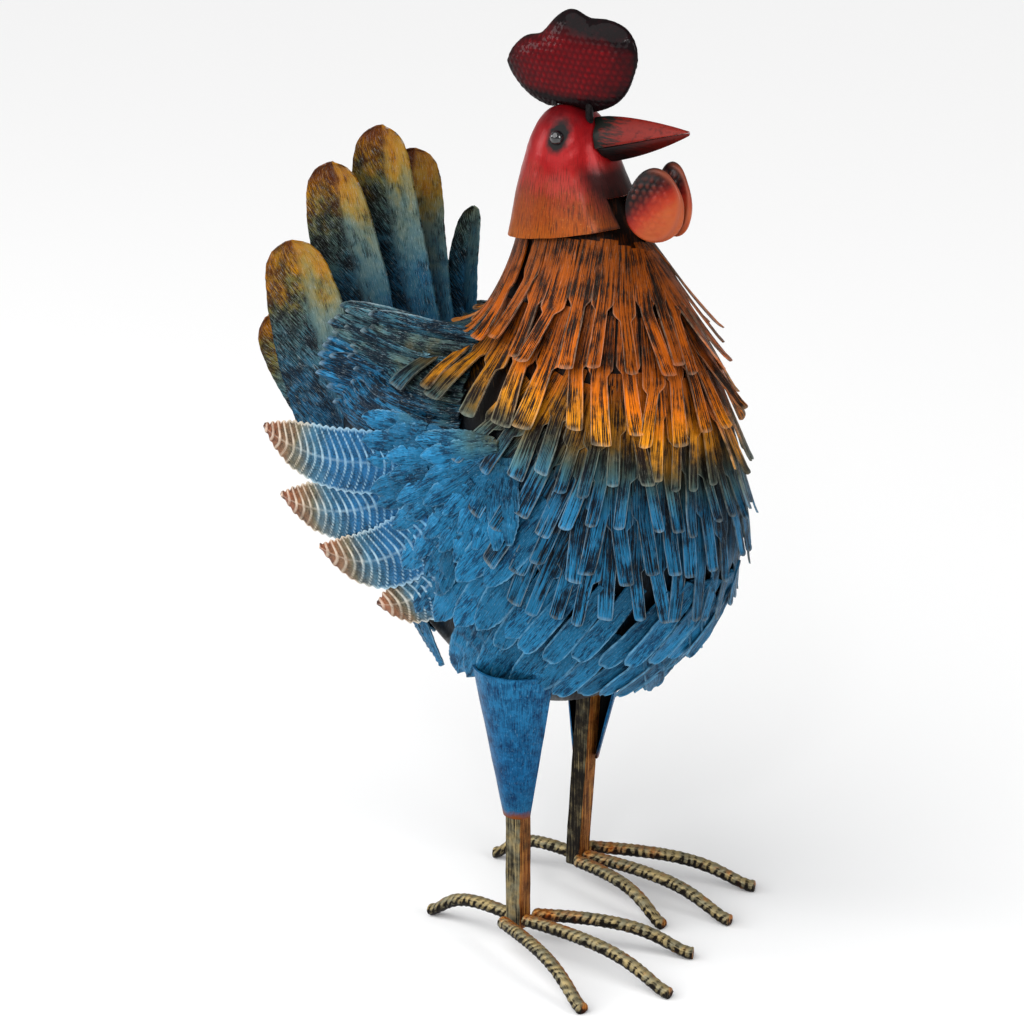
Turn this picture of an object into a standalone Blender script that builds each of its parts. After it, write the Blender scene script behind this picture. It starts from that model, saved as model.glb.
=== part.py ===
"""Metal rooster figure: sheet steel body, feathers in overlapping rows, tube legs and ribbed bar toes.

The rooster faces +X, its right side is towards -Y, and it stands on the tips of its toes at Z = 0.
Free forms are given in units of U, which is one thousandth of a metre at the real height.
"""

import math
import random

import bpy
import numpy as np
from mathutils import Vector

# Driving dimensions, in metres.
HEIGHT = 0.520            # floor to the top of the comb
SHEET = 0.001             # thickness of the feather sheet
SHELL = 0.0012            # thickness of the head and thigh sheet
GAP = 0.0003              # room between pieces that touch
LAYER = 0.0011            # least room between a feather row and what it lies on
TUBE = 0.010              # side of the square leg tube
BAR = 0.0082              # diameter of the ribbed toe bar
STANCE = 0.088            # distance between the two legs
ANKLE = 0.0175            # height of the toe bars where they meet the leg
EYE = 0.0079              # diameter of an eye bead
POST = 0.0042             # diameter of a comb post
COMB_DEPTH = 0.017        # thickness of the comb at its middle
WATTLE_DEPTH = 0.0085     # thickness of a wattle at its middle
ROW_RISE = 0.0085         # how far the free end of a row stands off the body
NECK_RISE = 0.0115        # the same on the neck
BELLY_RISE = 0.0045       # the same under the belly
FLANK_RISE = 0.0025       # the same on the flanks, where the wings lie over them
SEED = 7

# Free-form unit: one millimetre when the figure has its real height.
U = HEIGHT / 520

# Body sections: height, front, back, half width.
BODY = (
    (140, 20, -40, 26),
    (155, 47, -68, 46),
    (184, 77, -98, 62),
    (219, 96, -126, 72),
    (247, 103, -140, 75),
    (275, 101, -148, 74),
    (300, 97, -146, 70),
    (318, 92, -130, 62),
    (335, 84, -50, 52),
    (362, 70, -37, 40),
    (387, 57, -30, 29),
)
BODY_BOTTOM = 133
BODY_FOOT = (6, 5)        # half length and half width of the flat under the body
# Head sections, outside of the sheet: height, front, back, half width.
HEAD = (
    (396, 57, -36, 33.5),
    (410, 47, -33, 30),
    (425, 36, -30, 27.5),
    (438, 28, -26, 25),
    (450, 24, -22, 22.5),
    (460, 19, -18, 18),
    (467, 11, -11, 11),
)
CROWN = 470
HEAD_LEVELS = (425, 438, 450, 460, 467)
HEAD_RIM = (396, 412)     # height of the rim at the nape and at the throat
THROAT_PANELS = (0, 18, 19)   # sides of the lowest ring that are left open at the throat
NECK_ROOM = 0.0062        # from the outside of the head sheet to the neck in it
NECK_TOP = 446
NECK_END = (9, 8)         # half length and half width of the flat on the neck
SLOPE_STEP = 7            # height over which a surface's slope is read
SLOPE_TURN = 0.05         # angle over which it is read


def neck_sections():
    """The neck runs up inside the head sheet."""
    room = NECK_ROOM / U
    inside = []
    for height, front, back, half in HEAD[1:4]:
        inside.append((height - 5, front - room, back + room, half - room))
    return tuple(inside)


SECTIONS = BODY + neck_sections()
LEVELS = [row[0] for row in SECTIONS]


def section(level, rows=SECTIONS):
    """Centre, half length and half width of the body at a height, all in units."""
    heights = [row[0] for row in rows]
    front = np.interp(level, heights, [row[1] for row in rows])
    back = np.interp(level, heights, [row[2] for row in rows])
    half = np.interp(level, heights, [row[3] for row in rows])
    return (front + back) / 2, (front - back) / 2, half


def body_point(turn, level, rows=SECTIONS):
    """Point of the body surface at an angle from the front and a height."""
    middle, length, half = section(level, rows)
    return Vector((middle + length * math.cos(turn), half * math.sin(turn), level)) * U


def lifted(turn, level, lift, rows=SECTIONS):
    """Body point moved outwards along the surface normal."""
    across = body_point(turn + SLOPE_TURN, level, rows) - body_point(turn - SLOPE_TURN, level, rows)
    low = max(level - SLOPE_STEP, rows[0][0])
    high = min(level + SLOPE_STEP, rows[-1][0])
    up = body_point(turn, high, rows) - body_point(turn, low, rows)
    return body_point(turn, level, rows) + across.cross(up).normalized() * lift


class Meridian:
    """A line down the body at one angle, measured by its length from the top of the neck."""

    def __init__(self, turn):
        self.turn = turn
        self.levels = np.linspace(LEVELS[-1], LEVELS[0], 160)
        points = np.array([body_point(turn, level)[:] for level in self.levels])
        steps = np.linalg.norm(np.diff(points, axis=0), axis=1)
        self.length = np.concatenate([[0], np.cumsum(steps)]) / U

    def at_level(self, level):
        return float(np.interp(-level, -self.levels, self.length))

    def point(self, along, lift):
        level = float(np.interp(along, self.length, self.levels))
        return lifted(self.turn, level, lift)


def clear_scene():
    for item in list(bpy.data.objects):
        bpy.data.objects.remove(item, do_unlink=True)


def collection(name):
    made = bpy.data.collections.new(name)
    bpy.context.scene.collection.children.link(made)
    return made


def material(name, colour, roughness, metallic):
    made = bpy.data.materials.new(name)
    made.use_nodes = True
    shader = made.node_tree.nodes["Principled BSDF"]
    shader.inputs["Base Color"].default_value = (*colour, 1)
    shader.inputs["Roughness"].default_value = roughness
    shader.inputs["Metallic"].default_value = metallic
    return made


def add_object(name, points, faces, paint, smooth=None):
    """A mesh object in the parts collection, shaded smooth below the given angle."""
    mesh = bpy.data.meshes.new(name)
    mesh.from_pydata([tuple(point) for point in points], [], faces)
    if smooth:
        mesh.shade_smooth()
        mesh.set_sharp_from_angle(angle=math.radians(smooth))
    made = bpy.data.objects.new(name, mesh)
    made.data.materials.append(paint)
    PARTS.objects.link(made)
    made.parent = ROOT
    return made


def rings(rows):
    """Faces between closed rings of points of one length, with both ends filled."""
    count = len(rows[0])
    faces = []
    for row in range(len(rows) - 1):
        for side in range(count):
            after = (side + 1) % count
            faces.append((row * count + side, row * count + after,
                          (row + 1) * count + after, (row + 1) * count + side))
    faces.append(tuple(reversed(range(count))))
    last = (len(rows) - 1) * count
    faces.append(tuple(range(last, last + count)))
    return faces


def loft(name, rows, paint, smooth=None):
    """A solid through rings of points that run anticlockwise as seen from the last ring."""
    points = [point for row in rows for point in row]
    return add_object(name, points, rings(rows), paint, smooth)


def cut(target, tool):
    """Cut one object with another."""
    modifier = target.modifiers.new("cut", "BOOLEAN")
    modifier.operation = "DIFFERENCE"
    modifier.solver = "EXACT"
    modifier.object = tool


def make_cutter(name, rows):
    points = [point for row in rows for point in row]
    mesh = bpy.data.meshes.new(name)
    mesh.from_pydata([tuple(point) for point in points], [], rings(rows))
    made = bpy.data.objects.new(name, mesh)
    CUTTERS.objects.link(made)
    made.parent = ROOT
    made.hide_render = True
    made.display_type = "WIRE"
    return made


# Body and head.
BODY_SIDES = 20
HEAD_SIDES = 20


def small_ring(middle, size, level, count, shift=0.0):
    """A flat ring of points round a place, to close a form with."""
    row = []
    for turn in turns(count, shift):
        row.append(Vector((middle + size[0] * math.cos(turn), size[1] * math.sin(turn), level)) * U)
    return row


def body_rings(extra):
    foot = small_ring(section(LEVELS[0])[0], BODY_FOOT, BODY_BOTTOM - extra / U, BODY_SIDES)
    rows = [foot]
    for level in LEVELS:
        rows.append([lifted(turn, level, extra) for turn in turns(BODY_SIDES)])
    rows.append(small_ring(section(LEVELS[-1])[0], NECK_END, NECK_TOP, BODY_SIDES))
    return rows


def turns(count, shift=0.0):
    return [math.tau * (step + shift) / count for step in range(count)]


def rim_level(turn):
    """The lower edge of the head sheet rises from the nape to the throat."""
    nape, throat = HEAD_RIM
    return (nape + throat) / 2 + (throat - nape) / 2 * math.cos(turn)


def head_surface(extra=0.0):
    """Rings of the outside of the head, from the rim up to the crown."""
    rows = [[lifted(turn, rim_level(turn), extra, HEAD) for turn in turns(HEAD_SIDES, 0.5)]]
    for level in HEAD_LEVELS:
        rows.append([lifted(turn, level, extra, HEAD) for turn in turns(HEAD_SIDES, 0.5)])
    return rows


def head_block():
    """The space the head takes, a gap larger, with its crown closed."""
    rows = head_surface(GAP)
    rows.append(small_ring(1, (1, 1), CROWN + GAP * 1.5 / U, HEAD_SIDES, 0.5))
    return rows


def build_body():
    return loft("body", body_rings(0.0), STEEL, 40)


def build_head():
    """One sheet drawn over the head, open below and at the throat."""
    rows = head_surface()
    points = [point for row in rows for point in row]
    points.append(Vector((1, 0, CROWN)) * U)
    faces = []
    for row in range(len(rows) - 1):
        for side in range(HEAD_SIDES):
            if row == 0 and side in THROAT_PANELS:
                continue
            after = (side + 1) % HEAD_SIDES
            start = row * HEAD_SIDES
            above = start + HEAD_SIDES
            faces.append((start + side, start + after, above + after, above + side))
    last = (len(rows) - 1) * HEAD_SIDES
    for side in range(HEAD_SIDES):
        faces.append((last + side, last + (side + 1) % HEAD_SIDES, len(points) - 1))
    made = add_object("head", points, faces, HEAD_RED, 40)
    shell = made.modifiers.new("sheet", "SOLIDIFY")
    shell.thickness = SHELL
    shell.offset = -1
    shell.use_even_offset = True
    return made


# Rows of feathers cut in one band of sheet.
LEAF_NECK = 0.62          # how far down a leaf it is still at full width
LEAF_TRIM = 0.03          # how much narrower it is there, as a share of the pitch
PINCH = (0.06, 0.40)      # how much the tip of a finger, and of a leaf, narrows on each side
SWAY = 0.7                # how far a finger may lean, as a share of the slot beside it


def feather_row(name, place, count, span, root, tip, paint,
                fill=0.78, point=0.0, wave=0.0, seed=0, free=ROW_RISE):
    """A band of sheet with its lower part cut into fingers.

    place(across, along, lift) gives a point, across runs from 0 to 1, and root and tip say where
    the band ends and the fingers end, as shares of the row's length. A point above 0 makes leaves.
    """
    draw = random.Random(SEED + seed)
    closed = span >= 360
    points = []
    faces = []

    def pair(across, along):
        rise = LAYER + free * along
        points.append(place(across, along, rise))
        points.append(place(across, along, rise + SHEET))
        return len(points) - 2

    heads = []
    roots = []
    for finger in range(count):
        for edge in (finger, finger + fill):
            heads.append(pair(edge / count, 0.0))
            roots.append(pair(edge / count, root))
    columns = len(heads) if closed else len(heads) - 1
    for column in range(columns):
        after = (column + 1) % len(heads)
        top, top2, low, low2 = heads[column], heads[after], roots[column], roots[after]
        faces.append((top + 1, low + 1, low2 + 1, top2 + 1))
        faces.append((top, top2, low2, low))
        faces.append((top, top + 1, top2 + 1, top2))
        if column % 2:
            faces.append((low, low2, low2 + 1, low + 1))
    if not closed:
        faces.append((heads[0], roots[0], roots[0] + 1, heads[0] + 1))
        faces.append((heads[-1] + 1, roots[-1] + 1, roots[-1], heads[-1]))
    for finger in range(count):
        reach = tip * (1 - wave * draw.random())
        lean = (draw.random() - 0.5) * (1 - fill) * SWAY
        low, low2 = roots[2 * finger], roots[2 * finger + 1]
        sides = [(low, low2)]
        if point:
            neck = root + (reach - root) * LEAF_NECK
            sides.append((pair((finger + LEAF_TRIM) / count, neck),
                          pair((finger + fill - LEAF_TRIM) / count, neck)))
        pinch = fill * (PINCH[0] + point * PINCH[1])
        sides.append((pair((finger + pinch + lean) / count, reach),
                      pair((finger + fill - pinch + lean) / count, reach)))
        for (left, right), (left2, right2) in zip(sides, sides[1:]):
            faces.append((left + 1, left2 + 1, right2 + 1, right + 1))
            faces.append((left, right, right2, left2))
            faces.append((left, left2, left2 + 1, left + 1))
            faces.append((right + 1, right2 + 1, right2, right))
        left, right = sides[-1]
        faces.append((left, right, right + 1, left + 1))
    return add_object(name, points, faces, paint)


def collar(name, start, end, count, levels, length, paint, **form):
    """A row round the body between two angles in degrees, ending at the given heights.

    levels are the heights of the finger ends at the front, the side and the back.
    """
    span = end - start
    known = {}

    def place(across, along, lift):
        turn = math.radians(start + span * across)
        if turn not in known:
            known[turn] = Meridian(turn)
        line = known[turn]
        away = abs(math.remainder(turn, math.tau)) / math.pi * 180
        level = np.interp(away, (0, 90, 180), levels)
        along_body = line.at_level(level) + (along - 1) * length
        return line.point(along_body, lift)

    root = form.pop("root", 0.42)
    return feather_row(name, place, count, span, root, 1.0, paint, **form)


# Name, first and last angle, number of fingers, and heights of their ends at front, side and back.
FRINGES = (
    ("neck_row_1", -180, 180, 28, (336, 344, 338)),
    ("neck_row_2", -122, 122, 25, (304, 308, 316)),
    ("breast_row_1", -84, 84, 23, (280, 284, 288)),
    ("breast_row_2", -80, 80, 22, (256, 261, 264)),
    ("breast_row_3", -74, 74, 20, (232, 238, 240)),
    ("breast_row_4", -70, 70, 18, (209, 216, 216)),
)
BACK_ROWS = (
    ("saddle_row_1", 126, 234, 9, (0, 322, 327.5), 54),
    ("saddle_right", -142, -112, 5, (0, 295, 300), 70),
    ("saddle_left", 112, 142, 5, (0, 295, 300), 70),
    ("rump_row", 170, 206, 4, (0, 236, 246), 26),
    ("vent_row_1", 128, 232, 9, (0, 196, 210), 58),
    ("vent_row_2", 122, 238, 7, (0, 158, 168), 56),
)
FRINGE_LENGTH = {"neck": 70, "breast": 60}
LEAF_POINT = 0.8          # how pointed a leaf is


def build_collars():
    """Neck, breast and belly rows from top to bottom, each tucked under the one above."""
    paints = {"neck": AMBER, "breast": BLUE}
    for number, (name, start, end, count, levels) in enumerate(FRINGES):
        place = name.split("_")[0]
        free = NECK_RISE if place == "neck" else ROW_RISE
        paint = TEAL if name == "breast_row_1" else paints[place]
        length = FRINGE_LENGTH[place]
        collar(name, start, end, count, levels, length, paint, wave=0.12, seed=number, free=free)
    collar("belly_row", -66, 66, 11, (166, 173, 173), 62, BLUE,
           point=LEAF_POINT, wave=0.08, seed=6, free=BELLY_RISE)
    for number, (name, start, end, count, levels, length) in enumerate(BACK_ROWS):
        paint = TEAL if name.startswith("saddle") else BLUE
        collar(name, start, end, count, levels, length, paint, point=LEAF_POINT, seed=8 + number)
    for word, start, end in (("right", -112, -72), ("left", 72, 112)):
        collar(f"flank_row_{word}", start, end, 4, (184, 184, 184), 66, BLUE,
               point=0.6, seed=14, free=FLANK_RISE, fill=0.92)


# Wings: rows that fan out from the shoulder over the side of the body.
SHOULDER = (12, 300)      # where a wing's feathers meet, forward and up
WING_ROOM = 4.6


def wing_side(x, z):
    """Half width of the wing surface at a place on the side."""
    middle, length, half = section(z)
    share = min(1.0, abs((x - middle) / length))
    body = half * math.sqrt(1 - share ** 2)
    back = max(0.0, -x) / 175
    down = (z - 262) / 90
    free = 73 - 26 * back ** 2 - 16 * down ** 2
    return max(body, free) + WING_ROOM


def wing_place(side, x, z, lift):
    """Point of the wing surface above a place on the side, moved outwards."""
    return Vector((x * U, side * (wing_side(x, z) * U + lift), z * U))


def fanned(angle, reach):
    """Forward and up place at an angle and distance from the shoulder."""
    return np.array((SHOULDER[0] + reach * math.cos(angle), SHOULDER[1] + reach * math.sin(angle)))


def wing_row(name, side, start, end, count, inner, outer, seed):
    """A covert row. inner and outer are its distances from the shoulder."""
    def place(across, along, lift):
        share = across if side < 0 else 1 - across
        angle = math.radians(start + (end - start) * share)
        x, z = fanned(angle, inner + (outer - inner) * along)
        return wing_place(side, x, z, lift)

    return feather_row(name, place, count, 0, 0.35, 1.0, BLUE, fill=0.93, point=0.6, seed=seed)


WING_QUILLS = (           # angle of the root and of the tip in degrees, distance of the tip, half width
    (195.0, 188.0, 182, 14.5),
    (213.5, 200.5, 180, 15),
    (234.0, 212.0, 160, 14.5),
    (245.0, 229.0, 146, 13.5),
)
QUILL_START = 100
QUILL_SHAPE = ((0.0, 0.9), (0.30, 1.0), (0.55, 1.0), (0.78, 0.80), (0.92, 0.42), (1.0, 0.05))
COVERT_ROWS = ((184, 246, 6, 37, 88), (182, 240, 7, 66, 126))


def quill_spine(root, tip, reach, along):
    """The middle of a quill, which bends up towards its tip."""
    angle = math.radians(root + (tip - root) * along ** 2)
    return fanned(angle, QUILL_START + (reach - QUILL_START) * along)


def build_wing(side, word):
    for number, (start, end, count, inner, outer) in enumerate(COVERT_ROWS):
        wing_row(f"covert_row_{number + 1}_{word}", side, start, end, count, inner, outer, 20 + number)
    for number, (root, tip, reach, width) in enumerate(WING_QUILLS):
        level = LAYER + (1 - number % 2) * (SHEET + LAYER)
        rows = []
        for along, share in QUILL_SHAPE:
            middle = quill_spine(root, tip, reach, along)
            before = quill_spine(root, tip, reach, along - 0.02)
            run = quill_spine(root, tip, reach, along + 0.02) - before
            over = np.array((-run[1], run[0])) / np.linalg.norm(run) * width * share
            places = [middle - side * over, middle, middle + side * over]
            rows.append([wing_place(side, x, z, level + SHEET) for x, z in places]
                        + [wing_place(side, x, z, level) for x, z in reversed(places)])
        loft(f"wing_quill_{number + 1}_{word}", rows, BLUE)


def leaf(name, spine, across, normal, widths, crease, paint, thick=SHEET):
    """A long plate with a crease down its middle, along the points of its spine."""
    rows = []
    for place, side, up, width in zip(spine, across, normal, widths):
        fold = up * crease * min(1.0, width / max(widths))
        rows.append([place + side * width - fold, place, place - side * width - fold,
                     place - side * width - fold - up * thick, place - up * thick,
                     place + side * width - fold - up * thick])
    return loft(name, rows, paint)


def frames(spine, outward):
    """Across and outward directions along a spine."""
    across = []
    normal = []
    for number in range(len(spine)):
        before = spine[max(0, number - 1)]
        after = spine[min(len(spine) - 1, number + 1)]
        run = (after - before).normalized()
        side = outward.cross(run).normalized()
        across.append(side)
        normal.append(run.cross(side).normalized())
    return across, normal


# Tail.
TAIL = (                  # base, tip and half width of each blade, and how far it bows back
    ("tail_right_1", (-97, -9, 326), (-117, -15, 443), 17, 9),
    ("tail_right_2", (-118, -17, 322), (-142, -26, 421), 17.5, 9),
    ("tail_right_3", (-127, -39, 270), (-161, -38, 377), 18.5, 7),
    ("tail_right_4", (-141, -27, 268), (-187, -31, 328), 12.5, 3),
    ("tail_left_1", (-99, 0, 328), (-114, 12, 426), 16, 8),
    ("tail_left_2", (-104, 7, 326), (-146, 24, 400), 16, 9),
    ("tail_left_3", (-118, 15, 320), (-178, 34, 356), 17, 9),
    ("tail_left_4", (-132, 22, 306), (-192, 41, 312), 13, 6),
    ("tail_left_5", (-84, 19, 326), (-99, 46, 389), 9, 4),
)
BLADE_SHAPE = ((0.0, 0.70), (0.25, 0.90), (0.55, 1.0), (0.82, 0.95), (0.94, 0.70), (1.0, 0.28))
BLADE_CREASE = 2.2        # how deep a blade is folded along its middle
# Under the tail: base, tip, half widths along it, and how far it bows.
DARK_FEATHER = ((-136, 8, 305), (-188, 24, 270), (7, 8, 6, 1), (-8, 0, 10))


def build_tail():
    for name, base, tip, width, bow in TAIL:
        base = Vector(base) * U
        run = Vector(tip) * U - base
        lean = Vector((-run.z, 0, run.x)).normalized() * bow * U
        spine = []
        widths = []
        for along, share in BLADE_SHAPE:
            spine.append(base + run * along + lean * math.sin(math.pi * along))
            widths.append(width * share * U)
        side = -1 if tip[1] < 0 else 1
        across, normal = frames(spine, Vector((0, side, 0)))
        cut(leaf(name, spine, across, normal, widths, BLADE_CREASE * U, TEAL), BODY_CUTTER)


def build_under_tail():
    """The short dark feather under the tail."""
    base, tip, widths, bow = DARK_FEATHER
    run = Vector(tip) - Vector(base)
    spine = []
    for number in range(len(widths)):
        along = number / (len(widths) - 1)
        spine.append((Vector(base) + run * along + Vector(bow) * math.sin(math.pi * along)) * U)
    across, normal = frames(spine, Vector((0, 1, 0)))
    blade = leaf("under_tail_feather", spine, across, normal, [width * U for width in widths], U, STEEL)
    cut(blade, BODY_CUTTER)


# Comb, wattles, eyes and beak.
COMB_OUTLINE = (          # forward and up
    (-42, 489), (-30, 502), (-19, 504), (-10, 514), (1, 520), (12, 515.5), (24, 516.5),
    (37, 512), (43, 500), (40, 487), (33, 474), (16, 466), (-6, 465), (-24, 468), (-37, 478),
)


def smooth_loop(corners, steps):
    """Closed Catmull-Rom curve through corner points."""
    made = []
    count = len(corners)
    for number in range(count):
        p0, p1, p2, p3 = (np.array(corners[(number + shift) % count], float) for shift in (-1, 0, 1, 2))
        for step in range(steps):
            t = step / steps
            made.append(0.5 * (2 * p1 + (p2 - p0) * t + (2 * p0 - 5 * p1 + 4 * p2 - p3) * t ** 2
                               + (3 * p1 - p0 - 3 * p2 + p3) * t ** 3))
    return made


def pillow(name, outline, origin, forward, up, out, edge, depth, paint):
    """A cushion-shaped plate: an outline swelled to both sides."""
    middle = sum(outline) / len(outline)
    rows = []
    shares = ((0.3, 1.0), (0.78, 0.72), (1.0, 0.0))
    levels = [(share, -edge - (depth - edge) * swell) for share, swell in shares]
    levels += [(share, edge + (depth - edge) * swell) for share, swell in reversed(shares)]
    for share, level in levels:
        row = []
        for corner in outline:
            flat = middle + (corner - middle) * share
            row.append(origin + forward * flat[0] + up * flat[1] + out * level)
        rows.append(row)
    return loft(name, rows, paint, 50)


def comb_plate(name, grow):
    """The comb, or the space it takes when grown by a gap."""
    outline = [corner * U * (1 + grow / (40 * U)) for corner in smooth_loop(COMB_OUTLINE, 2)]
    shift = Vector((0, 0, -490 * U * grow / (40 * U)))
    return pillow(name, outline, shift, Vector((1, 0, 0)), Vector((0, 0, 1)),
                  Vector((0, 1, 0)), SHEET + grow, COMB_DEPTH / 2 + grow, RED)


def build_comb():
    cut(comb_plate("comb", 0.0), HEAD_CUTTER)


POSTS = ((-7, 460, 472), (15, 458, 472.5))   # forward, bottom and top of each post
POST_SIDE = 0.24          # how far a post stands off the comb's middle, as a share of its thickness


def build_posts():
    """Two short posts that carry the comb, beside its lower edge."""
    block = comb_plate("comb_cutter", GAP)
    PARTS.objects.unlink(block)
    CUTTERS.objects.link(block)
    block.hide_render = True
    block.display_type = "WIRE"
    for number, (x, low, high) in enumerate(POSTS):
        place = (x * U, -COMB_DEPTH * POST_SIDE, (low + high) / 2 * U)
        bpy.ops.mesh.primitive_cylinder_add(vertices=8, radius=POST / 2,
                                            depth=(high - low) * U, location=place)
        post = adopt(f"comb_post_{number + 1}", STEEL)
        cut(post, HEAD_CUTTER)
        cut(post, block)


def adopt(name, paint):
    """Take the new primitive into the parts collection."""
    made = bpy.context.object
    made.name = name
    made.data.name = name
    made.data.materials.append(paint)
    for group in list(made.users_collection):
        group.objects.unlink(made)
    PARTS.objects.link(made)
    made.parent = ROOT
    return made


WATTLE_PLACE = (60, 8.5, 425)
WATTLE_SIZE = (16.5, 21)  # half width and half height
WATTLE_TURN = 21          # degrees that each wattle is turned out from straight ahead
WATTLE_STEPS = 12


def build_wattles():
    """Two discs that are narrower above than below."""
    outline = []
    for turn in turns(WATTLE_STEPS):
        width = WATTLE_SIZE[0] * math.sin(turn) * (1 - 0.25 * math.cos(turn))
        outline.append(np.array((width, WATTLE_SIZE[1] * math.cos(turn))) * U)
    x, y, z = WATTLE_PLACE
    for word, side in (("right", -1), ("left", 1)):
        turn = math.radians(WATTLE_TURN)
        forward = Vector((math.cos(turn), -math.sin(turn) * side, 0))
        out = Vector((0, 0, 1)).cross(forward)
        pillow(f"wattle_{word}", outline, Vector((x, y * side, z)) * U, forward, Vector((0, 0, 1)),
               out, SHEET * 0.8, WATTLE_DEPTH / 2, RED)


EYE_PLACE = (77, 455)     # degrees from the front, and height


def build_eyes():
    degrees, level = EYE_PLACE
    for word, side in (("right", -1), ("left", 1)):
        centre = lifted(side * math.radians(degrees), level, 0, HEAD)
        bpy.ops.mesh.primitive_uv_sphere_add(segments=10, ring_count=8, radius=EYE / 2, location=centre)
        bead = adopt(f"eye_{word}", BLACK)
        bead.data.shade_smooth()
        cut(bead, HEAD_CUTTER)


BEAK = (                  # forward, top, mouth line, bottom, half width
    (12, 463, 447, 440, 10),
    (26, 466.5, 450, 441, 9.5),
    (44, 467, 455, 446.5, 7.5),
    (62, 466, 460, 454.5, 4.5),
    (75, 464.3, 463.4, 461.8, 1.0),
)


UPPER_WAIST = 0.8         # width of the upper beak half way up, as a share of its width at the mouth
LOWER_MOUTH = 0.9         # width of the lower beak at the mouth, and half way down
LOWER_WAIST = 0.65


def build_beak():
    """Two folded sheets with a slit between them."""
    upper = []
    lower = []
    slit = GAP / U
    for x, top, mouth, bottom, half in BEAK:
        side = half * UPPER_WAIST
        waist = (top + mouth) / 2
        profile = ((half, mouth + slit), (side, waist), (0, top), (-side, waist), (-half, mouth + slit))
        upper.append([Vector((x, y, z)) * U for y, z in profile])
        brim = half * LOWER_MOUTH
        side = half * LOWER_WAIST
        waist = (bottom + mouth) / 2
        profile = ((brim, mouth), (-brim, mouth), (-side, waist), (0, bottom), (side, waist))
        lower.append([Vector((x, y, z)) * U for y, z in profile])
    cut(loft("beak_upper", upper, RED, 40), HEAD_CUTTER)
    cut(loft("beak_lower", lower, BLACK, 40), HEAD_CUTTER)


# Legs.
LEGS = {                  # ankle forward, hip forward, and toes: direction, reach, start forward and out
    "right": (-1, -1, (("back", 178, 64), ("outer", -31, 91), ("middle", -2, 105), ("inner", 27, 98))),
    "left": (-26, -15, (("back", 182, 58), ("outer", 29, 103), ("middle", 2, 104), ("inner", -17, 80))),
}
THIGH_TIP = 80
THIGH_TOP = 168
THIGH_RADIUS = 0.0255
THIGH_RINGS = (0, 0.32, 0.66, 1)   # shares of the thigh's height
THIGH_EDGE = 0.02         # share of a half turn that is left open at each edge of the sheet
SHANK_TOP = 0.172
TOE_FLAT = 0.58           # share of a toe that runs level before it bends down
TOE_PAD = 0.94            # where along a toe its flat pad on the floor begins
TOE_SHIFT = 0.10          # how far the middle toe starts off the leg's middle, as a share of the bar
TOE_SIDE_ROOM = 0.0012    # room for the weld between the leg and its outer toe


def leg_axis(word, height):
    """Forward and sideways place of a leg's centre line at a height."""
    ankle, hip, _ = LEGS[word]
    side = -1 if word == "right" else 1
    share = height / (150 * U)
    return Vector(((ankle + (hip - ankle) * share) * U, side * STANCE / 2, height))


def build_shank(word):
    rows = []
    half = TUBE / 2
    corners = ((half, half), (-half, half), (-half, -half), (half, -half))
    for height in (ANKLE - BAR * 0.7, SHANK_TOP):
        rows.append([leg_axis(word, height) + Vector((x, y, 0)) for x, y in corners])
    shank = loft(f"shank_{word}", rows, BRONZE)
    cut(shank, BODY_CUTTER)


def build_thigh(word):
    """A sheet rolled to half a cone on the outer side of the leg."""
    side = -1 if word == "right" else 1
    around = 9
    points = []
    faces = []
    least = TUBE * 0.5 * math.sqrt(2) + GAP + SHELL
    for share in THIGH_RINGS:
        axis = leg_axis(word, (THIGH_TIP + (THIGH_TOP - THIGH_TIP) * share) * U)
        radius = least + (THIGH_RADIUS - least) * share
        for step in range(around):
            turn = math.pi * (THIGH_EDGE + (1 - 2 * THIGH_EDGE) * step / (around - 1))
            points.append(axis + Vector((radius * math.cos(turn), side * radius * math.sin(turn), 0)))
    for row in range(len(THIGH_RINGS) - 1):
        for step in range(around - 1):
            start = row * around + step
            face = (start, start + 1, start + around + 1, start + around)
            faces.append(face if side > 0 else tuple(reversed(face)))
    thigh = add_object(f"thigh_{word}", points, faces, BLUE, 40)
    shell = thigh.modifiers.new("sheet", "SOLIDIFY")
    shell.thickness = SHELL
    shell.offset = -1
    shell.use_even_offset = True
    cut(thigh, BODY_CUTTER)


def toe_points(word, toe, degrees, reach):
    """Centre line of a toe bar, level from the leg and then bent down to the floor."""
    side = -1 if word == "right" else 1
    axis = leg_axis(word, ANKLE)
    face = TUBE / 2 + GAP
    step = BAR + GAP * 2
    starts = {
        "back": (-face, 0.0),
        "outer": (-TUBE * 0.3, side * (face + BAR / 2 + TOE_SIDE_ROOM)),
        "middle": (face, side * BAR * TOE_SHIFT),
        "inner": (face, side * (BAR * TOE_SHIFT - step)),
    }
    start = axis + Vector((*starts[toe], 0))
    heading = Vector((math.cos(math.radians(degrees)), math.sin(math.radians(degrees)), 0))
    end = axis + heading * reach * U
    end.z = 0
    pad = BAR * 0.4 / ANKLE
    shape = ((0, 1.0), (TOE_FLAT * 0.5, 1.06), (TOE_FLAT, 0.98), (0.78, 0.68), (TOE_PAD, pad), (1.0, pad))
    line = []
    for along, height in shape:
        place = start.lerp(end, along)
        place.z = ANKLE * height
        line.append(place)
    return line


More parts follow.
